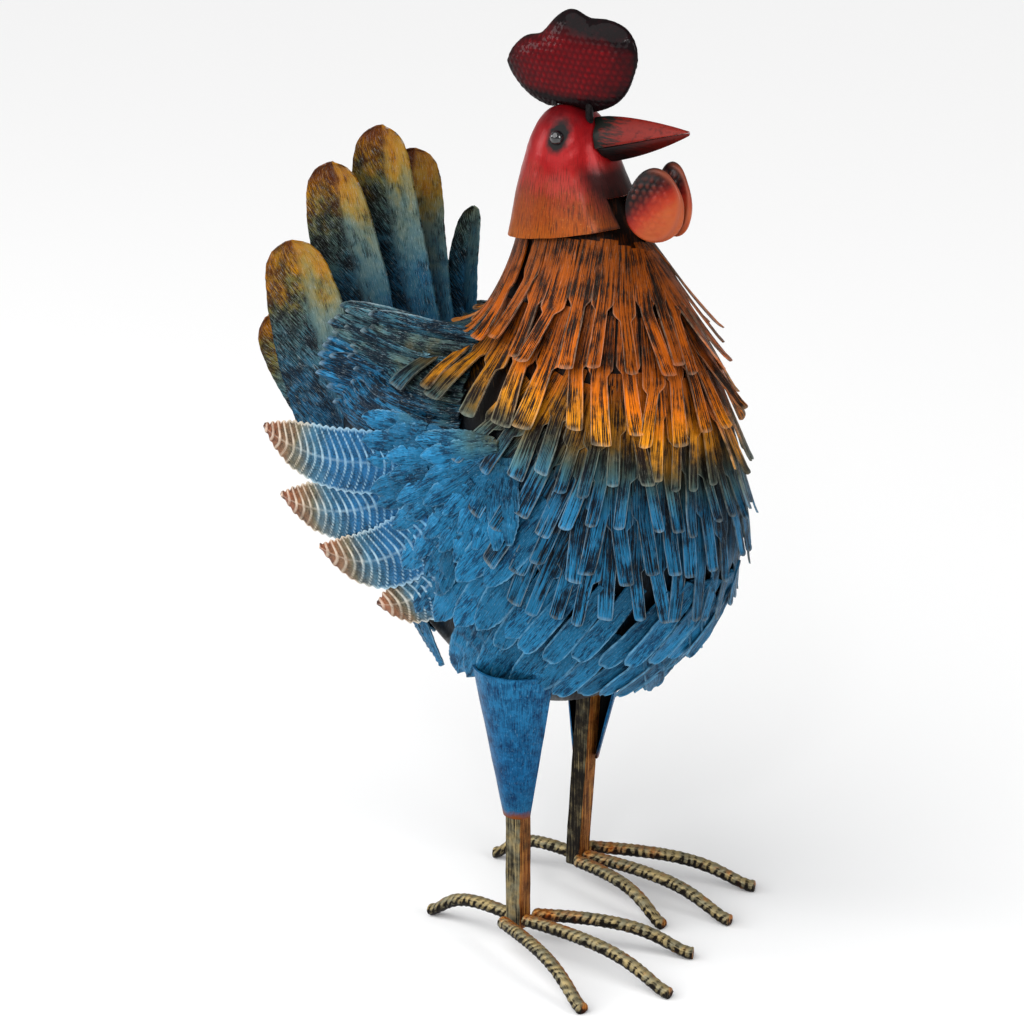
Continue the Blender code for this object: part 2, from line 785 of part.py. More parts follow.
def build_toe(word, toe, degrees, reach):
    """A round bar along its line; where it would pass the floor it is pressed flat."""
    line = toe_points(word, toe, degrees, reach)
    rows = []
    sides = 8
    for number, place in enumerate(line):
        before = line[max(0, number - 1)]
        after = line[min(len(line) - 1, number + 1)]
        run = (after - before).normalized()
        if number == 0 or number >= len(line) - 2:
            run = Vector((run.x, run.y, 0)).normalized()
        if number == 0 and toe != "outer":
            run = Vector((math.copysign(1, run.x), 0, 0))
        across = Vector((0, 0, 1)).cross(run).normalized()
        up = run.cross(across).normalized()
        row = []
        for step in range(sides):
            turn = math.tau * (step + 0.5) / sides
            corner = place + across * math.cos(turn) * BAR / 2 + up * math.sin(turn) * BAR / 2
            corner.z = max(corner.z, 0.0)
            row.append(corner)
        rows.append(row)
    loft(f"toe_{toe}_{word}", rows, BRONZE, 50)


def build_legs():
    for word, (_, _, toes) in LEGS.items():
        build_shank(word)
        build_thigh(word)
        for toe, degrees, reach in toes:
            build_toe(word, toe, degrees, reach)


def centre_model():
    """Move the figure so that its box is centred over the origin."""
    bpy.context.view_layer.update()
    graph = bpy.context.evaluated_depsgraph_get()
    corners = []
    for made in (item for item in PARTS.objects if item.type == "MESH"):
        mesh = made.evaluated_get(graph).to_mesh()
        matrix = made.matrix_world
        corners += [tuple(matrix @ vertex.co) for vertex in mesh.vertices]
    corners = np.array(corners)
    middle = (corners.min(axis=0) + corners.max(axis=0)) / 2
    ROOT.location = (-middle[0], -middle[1], -corners[:, 2].min())


clear_scene()
PARTS = collection("rooster")
CUTTERS = collection("cutters")
ROOT = bpy.data.objects.new("rooster_origin", None)
PARTS.objects.link(ROOT)
STEEL = material("dark_steel", (0.02, 0.02, 0.022), 0.5, 0.7)
AMBER = material("amber_paint", (0.62, 0.24, 0.03), 0.42, 0.6)
TEAL = material("teal_paint", (0.10, 0.22, 0.26), 0.42, 0.6)
BLUE = material("blue_paint", (0.02, 0.20, 0.45), 0.38, 0.6)
RED = material("red_lacquer", (0.30, 0.01, 0.02), 0.22, 0.4)
HEAD_RED = material("head_paint", (0.55, 0.06, 0.04), 0.3, 0.4)
BLACK = material("black_gloss", (0.01, 0.01, 0.01), 0.12, 0.2)
BRONZE = material("rubbed_bronze", (0.25, 0.17, 0.09), 0.45, 0.8)
BODY_CUTTER = make_cutter("body_cutter", body_rings(GAP))
HEAD_CUTTER = make_cutter("head_cutter", head_block())


def main():
    build_body()
    build_head()
    build_comb()
    build_posts()
    build_wattles()
    build_eyes()
    build_beak()
    build_collars()
    build_wing(-1, "right")
    build_wing(1, "left")
    build_tail()
    build_under_tail()
    build_legs()
    centre_model()


main()
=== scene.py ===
# The looks of a rooster made of cut, hammered and spray-painted sheet steel.
import math
import random

import bpy
import numpy as np
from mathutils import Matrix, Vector, noise
from mathutils.bvhtree import BVHTree


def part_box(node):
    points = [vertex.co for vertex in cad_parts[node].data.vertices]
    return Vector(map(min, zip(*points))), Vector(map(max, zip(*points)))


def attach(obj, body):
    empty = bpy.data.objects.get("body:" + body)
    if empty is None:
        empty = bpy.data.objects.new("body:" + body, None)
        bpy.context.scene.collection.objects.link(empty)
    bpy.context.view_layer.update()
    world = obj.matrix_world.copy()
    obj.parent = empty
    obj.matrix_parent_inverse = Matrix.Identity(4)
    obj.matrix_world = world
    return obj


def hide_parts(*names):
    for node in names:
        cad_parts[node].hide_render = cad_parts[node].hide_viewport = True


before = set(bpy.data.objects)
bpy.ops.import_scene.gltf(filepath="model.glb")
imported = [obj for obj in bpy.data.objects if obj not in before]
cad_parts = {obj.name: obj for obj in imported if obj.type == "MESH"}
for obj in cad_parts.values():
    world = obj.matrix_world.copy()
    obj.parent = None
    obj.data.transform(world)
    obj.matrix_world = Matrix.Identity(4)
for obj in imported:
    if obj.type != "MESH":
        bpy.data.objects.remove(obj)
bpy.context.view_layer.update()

# The figure's own measures are in millimetres from the point between its legs.
MM = 0.001
LEG_PLACE = -1            # how far forward the right leg stands
RIGHT_LEG = sum(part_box("shank_right"), Vector()) / 2
LEFT_LEG = sum(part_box("shank_left"), Vector()) / 2
ORIGIN = Vector((RIGHT_LEG.x - LEG_PLACE * MM, (RIGHT_LEG.y + LEFT_LEG.y) / 2, 0))
SHEET = 1.0               # thickness of the feather sheet
LAYER = 1.1               # room under a feather row

draw = random.Random(11)


def place(x, y, z):
    """A point in the scene from millimetres forward, to the left and up."""
    return ORIGIN + Vector((x, y, z)) * MM


# Handling of objects.
def pick(piece):
    """Select one object alone."""
    for other in bpy.context.selected_objects:
        other.select_set(False)
    piece.select_set(True)
    bpy.context.view_layer.objects.active = piece


def start_edit(piece):
    """Open an object for editing with all of it selected."""
    pick(piece)
    bpy.ops.object.mode_set(mode="EDIT")
    bpy.ops.mesh.select_all(action="SELECT")


def end_edit():
    """Close the object that is open for editing."""
    bpy.ops.object.mode_set(mode="OBJECT")


def apply_modifier(piece, kind, **settings):
    """Add one modifier and work it into the mesh."""
    pick(piece)
    modifier = piece.modifiers.new(kind.lower(), kind)
    for key, value in settings.items():
        setattr(modifier, key, value)
    bpy.ops.object.modifier_apply(modifier=modifier.name)


def subdivide(piece, levels):
    """Round a piece off with finer faces."""
    apply_modifier(piece, "SUBSURF", levels=levels, render_levels=levels)


def points_of(piece):
    """Places of a piece's points, one row each, in metres."""
    flat = np.empty(len(piece.data.vertices) * 3, np.float32)
    piece.data.vertices.foreach_get("co", flat)
    return flat.reshape(-1, 3).astype(float)


def normals_of(piece):
    """Which way the sheet faces at each point."""
    flat = np.empty(len(piece.data.vertices) * 3, np.float32)
    piece.data.vertex_normals.foreach_get("vector", flat)
    return flat.reshape(-1, 3).astype(float)


def move_points(piece, points):
    """Put a piece's points at new places."""
    piece.data.vertices.foreach_set("co", points.astype(np.float32).ravel())
    piece.data.update()


def own_measures(points):
    """Scene points in the figure's own millimetres."""
    return (points - np.array(ORIGIN)) / MM


def note(piece, name, values):
    """Keep one number for each point, for the paint to read."""
    layer = piece.data.attributes.get(name) or piece.data.attributes.new(name, "FLOAT", "POINT")
    layer.data.foreach_set("value", np.asarray(values, np.float32))


def set_grain(piece, across, along):
    """Lay the brush direction over a piece: metres across and along the brush strokes."""
    layer = piece.data.uv_layers.get("grain") or piece.data.uv_layers.new(name="grain")
    corner = np.empty(len(piece.data.loops), np.int32)
    piece.data.loops.foreach_get("vertex_index", corner)
    layer.data.foreach_set("uv", np.stack([across[corner], along[corner]], 1).astype(np.float32).ravel())


def copy_of(node, name):
    """A copy of a solid of the frame with its loose triangles merged."""
    made = bpy.data.objects.new(name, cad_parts[node].data.copy())
    bpy.context.scene.collection.objects.link(made)
    made.data.materials.clear()
    start_edit(made)
    bpy.ops.mesh.customdata_custom_splitnormals_clear()
    bpy.ops.mesh.remove_doubles(threshold=0.00002)
    bpy.ops.mesh.tris_convert_to_quads(face_threshold=math.radians(35), shape_threshold=math.radians(60))
    bpy.ops.mesh.faces_shade_smooth()
    end_edit()
    return made


def crease_edges(piece, degrees, strength):
    """Hold the edges that are sharper than an angle."""
    start_edit(piece)
    bpy.ops.mesh.select_mode(type="EDGE")
    bpy.ops.mesh.select_all(action="DESELECT")
    bpy.ops.mesh.edges_select_sharp(sharpness=math.radians(degrees))
    bpy.ops.transform.edge_crease(value=strength)
    bpy.ops.mesh.select_mode(type="VERT")
    end_edit()


def refined(node, name, degrees, levels, strength=1.0):
    """A smooth copy of a solid that keeps the edges sharper than an angle."""
    made = copy_of(node, name)
    crease_edges(made, degrees, strength)
    subdivide(made, levels)
    return made


def join(name, parts):
    """Make one piece of several."""
    pick(parts[0])
    for part in parts:
        part.select_set(True)
    bpy.ops.object.join()
    parts[0].name = name
    parts[0].data.name = name
    return parts[0]


def deliver(piece, nodes, paint, smooth=40):
    """Give a finished piece its paint and fix it to the figure."""
    pick(piece)
    bpy.ops.object.shade_smooth_by_angle(angle=math.radians(smooth))
    piece.data.materials.clear()
    piece.data.materials.append(paint)
    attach(piece, "root")
    if nodes:
        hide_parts(*nodes)
    return piece


# Mixing of paints.
def tone(red, green, blue):
    """A colour as seen, in 0 to 255, as the shader wants it."""
    made = []
    for value in (red, green, blue):
        share = value / 255
        made.append(share / 12.92 if share <= 0.04045 else ((share + 0.055) / 1.055) ** 2.4)
    return (*made, 1.0)


class Paint:
    """A paint that is mixed from patterns, one step at a time."""

    def __init__(self, name):
        """Start from a new material with its one shader."""
        self.material = bpy.data.materials.new(name)
        self.material.use_nodes = True
        self.tree = self.material.node_tree
        self.shader = self.tree.nodes["Principled BSDF"]

    def add(self, kind, inputs, output=0, **settings):
        """One step of the mix, with its result."""
        made = self.tree.nodes.new("ShaderNode" + kind)
        for key, value in settings.items():
            setattr(made, key, value)
        for key, value in inputs.items():
            self.feed(made.inputs[key], value)
        return made.outputs[output]

    def feed(self, socket, value):
        """Set a value, or take it from an earlier step."""
        if isinstance(value, bpy.types.NodeSocket):
            self.tree.links.new(value, socket)
        else:
            socket.default_value = value

    def noted(self, name):
        """The numbers kept for each point under a name."""
        return self.add("Attribute", {}, "Fac", attribute_name=name)

    def where(self):
        """Place on the piece, in metres."""
        return self.add("TexCoord", {}, "Object")

    def grain(self, across, along):
        """Coordinates along the brush strokes, for marks of that size in millimetres."""
        stroke = self.add("UVMap", {}, uv_map="grain")
        scale = (1 / (across * MM), 1 / (along * MM), 1)
        return self.add("Mapping", {"Vector": stroke, "Scale": scale})

    def blotches(self, size, vector=None, detail=4.0, rough=0.6, warp=0.0):
        """Noise from 0 to 1 with marks of about that size in millimetres."""
        inputs = {"Vector": vector or self.where(), "Scale": 1 / (size * MM), "Detail": detail,
                  "Roughness": rough, "Distortion": warp}
        if vector:
            inputs["Scale"] = 1.0
        return self.add("TexNoise", inputs, "Fac")

    def sum(self, first, second, operation="ADD", clamp=False):
        """Two values put together."""
        return self.add("Math", {0: first, 1: second}, operation=operation, use_clamp=clamp)

    def times(self, first, second):
        """One value as a share of another."""
        return self.sum(first, second, "MULTIPLY")

    def spread(self, value, low, high, to_low=0.0, to_high=1.0):
        """Stretch a range of values to another."""
        return self.add("MapRange", {"Value": value, "From Min": low, "From Max": high,
                                     "To Min": to_low, "To Max": to_high})

    def ramp(self, value, stops):
        """A colour for each value, between stops."""
        made = self.tree.nodes.new("ShaderNodeValToRGB")
        band = made.color_ramp
        while len(band.elements) < len(stops):
            band.elements.new(0.5)
        for element, (position, colour) in zip(band.elements, stops):
            element.position = position
            element.color = colour
        self.feed(made.inputs["Fac"], value)
        return made.outputs["Color"]

    def blend(self, share, first, second, kind="MIX"):
        """The first colour with a share of the second over it."""
        return self.add("MixRGB", {"Fac": share, "Color1": first, "Color2": second}, blend_type=kind)

    def bump(self, height, depth, strength, below=None):
        """Fine relief of that depth in millimetres."""
        inputs = {"Height": height, "Distance": depth * MM, "Strength": strength}
        if below:
            inputs["Normal"] = below
        return self.add("Bump", inputs)

    def finish(self, colour, roughness, metallic, normal=None, coat=0.0, coat_rough=0.2, gloss=0.1):
        """Hand the mix to the shader."""
        self.feed(self.shader.inputs["Base Color"], colour)
        self.feed(self.shader.inputs["Roughness"], roughness)
        self.feed(self.shader.inputs["Metallic"], metallic)
        self.shader.inputs["Specular IOR Level"].default_value = gloss
        self.shader.inputs["Coat Weight"].default_value = coat
        self.shader.inputs["Coat Roughness"].default_value = coat_rough
        if normal:
            self.feed(self.shader.inputs["Normal"], normal)
        return self.material


# Colours of the finish.
COAL = tone(10, 9, 10)
UMBER = tone(34, 17, 8)
ORANGE = tone(212, 108, 2)
GOLD = tone(214, 136, 14)
OCHRE = tone(104, 82, 38)
SAGE = tone(68, 86, 80)
TEAL = tone(54, 102, 118)
CERULEAN = tone(32, 108, 150)
NAVY = tone(6, 20, 34)
SKY = tone(132, 178, 202)
SILVER = tone(176, 192, 196)
COPPER = tone(150, 92, 64)
BARK = tone(80, 44, 32)


def dimmed(stops, share):
    """The same colours with less light in them."""
    return tuple((position, (*(part * share for part in colour[:3]), 1.0)) for position, colour in stops)


def brushed_paint(name, bright, dark, across, along, cover, fleck_share, edge_light, fleck=SILVER,
                  metallic=0.35):
    """Paint brushed thinly over a dark coat, so that the strokes leave streaks, with painted shade towards
    the root.

    bright and dark are the colours of the two coats from blue to orange, across and along the size
    of a stroke in millimetres, cover how much of the dark coat the strokes hide, and edge_light
    how bare the edges are worn.
    """
    paint = Paint(name)
    tint = paint.noted("tint")
    patch = paint.blotches(14)
    tint = paint.sum(tint, paint.spread(patch, 0.3, 0.7, -0.05, 0.05))
    tint = paint.sum(tint, paint.spread(paint.noted("tone"), 0, 1, -0.05, 0.05))
    streak = paint.blotches(1, paint.grain(across, along), detail=5, rough=0.65)
    broad = paint.blotches(1, paint.grain(across * 5, along * 2.5), detail=3)
    level = paint.sum(paint.times(streak, 0.62), paint.times(broad, 0.38))
    level = paint.sum(level, paint.times(paint.spread(patch, 0.3, 0.7, -0.5, 0.5), 0.14))
    mask = paint.spread(level, 0.56 - cover * 0.14, 0.62 - cover * 0.14)
    colour = paint.blend(mask, paint.ramp(tint, dark), paint.ramp(tint, bright))
    shade = paint.blotches(1, paint.grain(across * 1.6, along * 1.4), detail=3)
    shade = paint.spread(shade, 0.35, 0.7, 0.62, 1.2)
    shade = paint.times(shade, paint.spread(paint.noted("tone"), 0, 1, 0.70, 1.18))
    # Painted shade: darker towards the root, which lies in the shade under the row above.
    shade = paint.times(shade, paint.spread(paint.noted("along"), 0.25, 0.75, 0.62, 1.08))
    colour = paint.blend(1.0, colour, shade, "MULTIPLY")
    spark = paint.blotches(1, paint.grain(across * 0.9, along * 0.35), detail=6, rough=0.75)
    spark = paint.times(paint.spread(spark, 0.56, 0.66), fleck_share)
    colour = paint.blend(spark, colour, fleck)
    side = paint.sum(paint.noted("across"), 0.0, "ABSOLUTE")
    worn = paint.times(paint.spread(side, 0.84, 0.98), paint.spread(paint.noted("along"), 0.3, 0.6))
    worn = paint.sum(worn, paint.spread(paint.noted("along"), 0.955, 1.0), "MAXIMUM")
    worn = paint.times(worn, paint.spread(paint.blotches(4), 0.35, 0.6, 0.15, edge_light))
    light = paint.blend(0.55, paint.ramp(tint, bright), fleck)
    colour = paint.blend(worn, colour, light)
    rough = paint.spread(level, 0.4, 0.62, 0.52, 0.34)
    normal = paint.bump(level, 0.35, 0.7)
    return paint.finish(colour, rough, metallic, normal)


FEATHER_BRIGHT = ((0.0, CERULEAN), (0.28, CERULEAN), (0.38, TEAL), (0.46, SAGE), (0.54, OCHRE),
                  (0.66, GOLD), (0.82, ORANGE), (1.0, tone(176, 84, 10)))
FEATHER_DARK = ((0.0, NAVY), (0.36, NAVY), (0.46, tone(16, 18, 17)), (0.58, UMBER), (1.0, UMBER))
LEAF_DARK = ((0.0, tone(8, 54, 86)), (0.34, tone(8, 48, 72)), (0.48, tone(22, 34, 34)), (0.6, UMBER),
             (1.0, UMBER))
FRINGE_PAINT = brushed_paint(
    "fringe_paint", FEATHER_BRIGHT, FEATHER_DARK, across=0.34, along=20, cover=0.62,
    fleck_share=0.22, edge_light=0.5, fleck=tone(176, 176, 158))
BLUE_PAINT = brushed_paint(
    "blue_leaf_paint", FEATHER_BRIGHT, LEAF_DARK, across=0.5, along=7, cover=0.9,
    fleck_share=0.4, edge_light=0.8, fleck=SKY)
SADDLE_PAINT = brushed_paint(
    "saddle_paint", FEATHER_BRIGHT, dimmed(LEAF_DARK, 0.35), across=0.45, along=12, cover=0.5,
    fleck_share=0.45, edge_light=0.75)
# The shell's very dark coat is partly its own paint and partly painted shade, where it shows between the
# feathers and under the belly.
SHELL_PAINT_AND_SHADE = brushed_paint(
    "shell_paint_and_shade", dimmed(FEATHER_BRIGHT, 0.1), dimmed(FEATHER_DARK, 0.3), across=1.2, along=6, cover=0.3,
    fleck_share=0.01, edge_light=0.0, metallic=0.1)


def dark_steel_paint():
    """Black oxide with rubbed patches."""
    paint = Paint("dark_steel_paint")
    level = paint.blotches(5, detail=6)
    colour = paint.ramp(level, ((0.35, tone(9, 9, 10)), (0.62, tone(38, 35, 36))))
    normal = paint.bump(level, 0.4, 0.6)
    return paint.finish(colour, paint.spread(level, 0.3, 0.7, 0.6, 0.4), 0.6, normal)


DARK_STEEL = dark_steel_paint()


# The body, and lines that run over it.
def build_body():
    """The closed shell that shows between the feathers, its dark coat partly its own paint and partly
    painted shade.
    """
    body = refined("body", "body_shell", degrees=60, strength=0.6, levels=2)
    points = own_measures(points_of(body))
    note(body, "tint", spray_level(points))
    set_grain(body, points[:, 0] * MM + points[:, 1] * MM, points[:, 2] * MM)
    note(body, "tone", np.full(len(points), 0.6))
    note(body, "across", np.zeros(len(points)))
    note(body, "along", np.full(len(points), 0.6))
    return deliver(body, ["body"], SHELL_PAINT_AND_SHADE)


def spray_level(points):
    """Where in the colours of the plumage a point lies, 0 blue and 1 orange."""
    border = 313 - 0.25 * points[:, 0]
    return np.clip((points[:, 2] - border) / 100 + 0.5, 0, 1)


def surface_tree(piece):
    """A piece's surface, to feel for places on it."""
    polygons = [tuple(face.vertices) for face in piece.data.polygons]
    return BVHTree.FromPolygons([vertex.co for vertex in piece.data.vertices], polygons)


BODY = build_body()
BODY_TREE = surface_tree(BODY)
FAR = 300                 # a distance well outside the figure
WALK_STEPS = 12           # places on a line over the body


def feel(origin, direction):
    """Where a ray from outside meets the body, in the figure's own millimetres."""
    hit = BODY_TREE.ray_cast(place(*origin), Vector(direction))[0]
    return None if hit is None else (hit - ORIGIN) / MM


GIRTHS = {}


def girth(level):
    """Middle and half lengths of the body at a height."""
    key = round(level)
    if key not in GIRTHS:
        front = feel((FAR, 0, key), (-1, 0, 0)).x
        back = feel((-FAR, 0, key), (1, 0, 0)).x
        middle = (front + back) / 2
        side = -feel((middle, -FAR, key), (0, 1, 0)).y
        GIRTHS[key] = (middle, (front - back) / 2, side)
    return GIRTHS[key]


def body_point(degrees, level):
    """Point and normal of the body at an angle from the front, with its right side negative."""
    middle, length, half = girth(level)
    turn = math.radians(degrees)
    guess = place(middle + length * math.cos(turn), half * math.sin(turn), level)
    return BODY_TREE.find_nearest(guess)[:2]


def walk(start, heading, length):
    """A line over the body from a point, with the normals below it."""
    spot, normal = BODY_TREE.find_nearest(start)[:2]
    run = heading - normal * heading.dot(normal)
    line = [spot]
    normals = [normal]
    for _ in range(WALK_STEPS):
        run = (run - normal * run.dot(normal)).normalized()
        spot, normal = BODY_TREE.find_nearest(spot + run * length * MM / WALK_STEPS)[:2]
        line.append(spot)
        normals.append(normal)
    return line, normals


def rotate_about(direction, normal, degrees):
    """A direction in the sheet turned to its left as seen from outside."""
    side = normal.cross(direction)
    turn = math.radians(degrees)
    return direction * math.cos(turn) + side * math.sin(turn)


def strand(degrees, level, length, sweep):
    """A line over the body that ends at a place, from above. A positive sweep leads backwards."""
    tip, normal = body_point(degrees, level)
    hand = -1 if degrees < 0 else 1
    up = Vector((0, 0, 1))
    up = rotate_about((up - normal * up.z).normalized(), normal, sweep * hand)
    line = walk(tip, up, length)[0]
    root = line[-1]
    return walk(root, (line[-2] - root).normalized(), length)


def smooth_rows(values):
    """Even out the steps between facets along a line."""
    padded = np.concatenate([values[:1], values, values[-1:]])
    return (padded[:-2] + 2 * padded[1:-1] + padded[2:]) / 4


def lay(pattern, line, normals, base, rise, twist, widths, curl, power=1.3, splay=0.0):
    """A copy of a flat pattern bent along a line, its root close and its tip standing off.

    base, rise and curl are in millimetres. widths are its shares of the pattern's width at root
    and tip, the power says how late it rises, and splay how far its free half leans to one side.
    """
    made = bpy.data.objects.new(pattern.name, pattern.data.copy())
    bpy.context.scene.collection.objects.link(made)
    x, y, z = points_of(pattern).T
    share = np.clip(y / y.max(), 0, 1)
    spots = smooth_rows(np.array([tuple(spot) for spot in line]))
    out = smooth_rows(np.array([tuple(normal) for normal in normals]))
    runs = np.gradient(spots, axis=0)
    stops = np.linspace(0, 1, len(spots))

    def along_line(rows):
        """Values on the line for each point of the pattern."""
        return np.stack([np.interp(share, stops, rows[:, axis]) for axis in range(3)], 1)

    centre = along_line(spots)
    run = along_line(runs)
    run /= np.linalg.norm(run, axis=1)[:, None]
    side = np.cross(run, along_line(out))
    side /= np.linalg.norm(side, axis=1)[:, None]
    out = np.cross(side, run)
    lift = base * MM + rise * MM * share ** power + curl * MM * share ** 4
    across = x * (widths[0] + (widths[1] - widths[0]) * share)
    across = across + splay * y.max() * np.clip(share - 0.5, 0, 1)
    turn = twist * share ** 2
    move_points(made, centre + side * (across * np.cos(turn) - z * np.sin(turn))[:, None]
                + out * (lift + across * np.sin(turn) + z * np.cos(turn))[:, None])
    mark(made, x, y, share)
    return made


def mark(made, x, y, share):
    """Note how far along each point lies, and give the strip its own tone and brush strokes."""
    note(made, "along", share)
    note(made, "tone", np.full(len(x), draw.random()))
    set_grain(made, x + draw.random(), y + draw.random())


# Patterns, cut flat from sheet with the root at Y = 0.
def flat_grid(name, width, length, columns, rows):
    """A flat sheet, divided evenly, in millimetres."""
    bpy.ops.mesh.primitive_grid_add(x_subdivisions=columns, y_subdivisions=rows, size=1)
    made = bpy.context.object
    made.name = name
    start_edit(made)
    bpy.ops.transform.resize(value=(width * MM, length * MM, 1))
    bpy.ops.transform.translate(value=(0, length * MM / 2, 0))
    end_edit()
    return made


def store_pattern(pattern):
    """Keep a pattern out of the scene, only to be copied."""
    for group in list(pattern.users_collection):
        group.objects.unlink(pattern)
    return pattern


STRIP_WIDTH = 10.0        # pitch that a fringe strip's pattern is drawn for


def slotted_strip(name, length, slot_start, narrow, corner):
    """A strip of a fringe that touches its neighbours at the root and is a finger below the slot."""
    made = flat_grid(name, STRIP_WIDTH, length, 4, 28)
    points = points_of(made) / MM
    share = np.interp(points[:, 1] / length, (0, 0.22, 0.44, 0.64, 1),
                      (0, slot_start, slot_start + 0.07, 0.9, 1))
    points[:, 1] = share * length
    half = np.interp(share, (0, slot_start, slot_start + 0.05, 0.8, 1),
                     (0.62, 0.56, narrow, narrow, narrow * 0.95))
    into = np.clip((points[:, 1] - (length - corner)) / corner, 0, 1)
    half = half * STRIP_WIDTH - corner * (1 - np.sqrt(1 - into ** 2 * 0.999))
    note(made, "across", points[:, 0] / (STRIP_WIDTH / 2))
    points[:, 0] *= half / (STRIP_WIDTH / 2)
    points[:, 2] = -0.4 * (points[:, 0] / STRIP_WIDTH * 2) ** 2
    move_points(made, points * MM)
    apply_modifier(made, "SOLIDIFY", thickness=SHEET * MM, offset=1)
    return store_pattern(made)


def leaf_outline(share, shape):
    """A leaf's width at each share of its length, between the stops of its shape."""
    return np.interp(share, [stop[0] for stop in shape], [stop[1] for stop in shape])


def ribbed_leaf(name, width, length, shape, pitch, ribs, slant, cup, rough=0.25,
                columns=12, rows=40, ridge=0.5, teeth=0.5, sharp=3):
    """A leaf with a spine, curved ribs that sweep to the tip and a toothed edge.

    In millimetres, ribs, cup, rough, ridge and teeth are the heights of the ribs, of the hollow
    across the leaf, of its hammer marks, of its spine and of the teeth. slant says how far the
    ribs sweep, and sharp how thin they are.
    """
    made = flat_grid(name, width, length, columns, rows)
    points = points_of(made) / MM
    share = points[:, 1] / length
    across = points[:, 0] / (width / 2)
    half = leaf_outline(share, shape) * width / 2
    phase = (points[:, 1] - np.abs(across) ** 1.5 * slant * half) / pitch
    wave = 0.5 - 0.5 * np.cos(2 * math.pi * phase)
    half = half - teeth * (1 - wave) * np.clip((half - 1) / 3, 0, 1)
    points[:, 0] = across * half
    rib = wave ** sharp
    points[:, 2] = (ribs * rib * (1 - np.abs(across) ** 6) + ridge * np.exp(-(across / 0.12) ** 2)
                    - cup * across ** 2)
    for number, point in enumerate(points):
        shake = Vector((0, 0, draw.random() * 0.01))
        points[number, 2] += rough * noise.noise(Vector(point) / 5.0 + shake)
    move_points(made, points * MM)
    note(made, "rib", np.maximum(rib, 0.6 * np.exp(-(across / 0.10) ** 2)))
    note(made, "across", across)
    apply_modifier(made, "SOLIDIFY", thickness=SHEET * MM, offset=1)
    return store_pattern(made)


# Fringes round the neck and breast.
def tip_level(degrees, levels):
    """Height of a row's tips, from its heights in front, at the side and behind."""
    return float(np.interp(abs(degrees), (0, 90, 180), levels))


def strip_pitch(degrees, level, step):
    """Length of the body's girth for one strip at a place."""
    left = body_point(degrees + step / 2, level)[0]
    right = body_point(degrees - step / 2, level)[0]
    return (left - right).length / MM


# For each shape of strip, where its slot starts and half its finger's width, as shares of the
# length and of the pitch, and the radius of its corners.
STRIPS = ((0.46, 0.33, 1.8), (0.50, 0.28, 2.5), (0.42, 0.34, 1.5), (0.48, 0.30, 2.2), (0.54, 0.26, 2.4))


def build_fringe(name, node, half, count, levels, length, rise, swept):
    """A band of sheet cut into fingers that lean and curl a little, each in its own way."""
    shapes = []
    for number, (slot_start, narrow, corner) in enumerate(STRIPS):
        shapes.append(slotted_strip(f"strip_{number}", length, slot_start, narrow, corner))
    step = 2 * half / count
    strips = []
    for number in range(count):
        degrees = -half + step * (number + 0.5)
        level = tip_level(degrees, levels) + draw.uniform(-5, 6)
        heights = (level + length * 0.8, level)
        widths = [strip_pitch(degrees, height, step) / STRIP_WIDTH for height in heights]
        line, normals = strand(degrees, level, length, np.clip(abs(degrees) - 45, 0, 40) * swept)
        stands = draw.random() < 0.12
        shape = draw.choice(shapes)
        lifted = rise * draw.uniform(0.8, 1.1) + 3 * stands
        twist = draw.uniform(-0.3, 0.3) + 0.5 * stands
        curl = draw.uniform(-0.5, 1.5)
        splay = draw.choice((-1, 1)) * draw.uniform(0, 0.24)
        strips.append(lay(shape, line, normals, LAYER + number % 2 * 0.3, lifted, twist, widths, curl,
                          power=2.0, splay=splay))
    row = join(name, strips)
    note(row, "tint", spray_level(own_measures(points_of(row))))
    return deliver(row, [node], FRINGE_PAINT)


def build_fringes():
    """Six rows, the longest round the whole neck."""
    for name, node, half, count, levels, length, rise, slot, swept in (
            ("neck_fringe_upper", "neck_row_1", 180, 28, (336, 344, 338), 72, 9.5, "amber_paint", 0.0),
            ("neck_fringe_lower", "neck_row_2", 122, 25, (304, 308, 316), 70, 9.0, "amber_paint", 0.3),
            ("breast_fringe_1", "breast_row_1", 90, 25, (280, 284, 288), 60, 7.5, "teal_paint", 0.8),
            ("breast_fringe_2", "breast_row_2", 88, 24, (256, 261, 264), 60, 7.5, "blue_paint", 0.9),
            ("breast_fringe_3", "breast_row_3", 84, 22, (232, 238, 240), 60, 7.5, "blue_paint", 1.0),
            ("breast_fringe_4", "breast_row_4", 80, 20, (209, 216, 216), 60, 7.5, "blue_paint", 1.0)):
        build_fringe(name, node, half, count, levels, length, rise, swept)


# Leaves over the back, belly and flanks.
LEAF_SHAPE = ((0, 0.66), (0.3, 0.96), (0.55, 1.0), (0.78, 0.82), (0.92, 0.5), (1.0, 0.08))
STRIP_SHAPE = ((0, 0.9), (0.5, 1.0), (0.85, 0.95), (0.96, 0.7), (1.0, 0.4))


def build_leaves(name, nodes, spots, pattern, length, rise, warmest=1.0):
    """A row of leaves from one pattern, no warmer in colour than a limit.

    A spot is the tip's angle and height, the sweep, and how far above the body the leaf starts.
    """
    leaves = []
    for degrees, level, sweep, above in spots:
        line, normals = strand(degrees + draw.uniform(-1, 1), level + draw.uniform(-2, 2), length,
                               sweep + draw.uniform(-5, 5))
        leaves.append(lay(pattern, line, normals, above, rise * draw.uniform(0.8, 1.25),
                          draw.uniform(-0.25, 0.25), (0.9, 1.0), draw.uniform(-0.5, 1.0)))
    row = join(name, leaves)
    note(row, "tint", np.minimum(spray_level(own_measures(points_of(row))), warmest))
    return deliver(row, nodes, BLUE_PAINT)


def even(start, end, count):
    """The middles of equal parts between a start and an end."""
    return [start + (end - start) * (number + 0.5) / count for number in range(count)]


def turned(degrees):
    """An angle between half a turn to the right and to the left."""
    return degrees if degrees <= 180 else degrees - 360


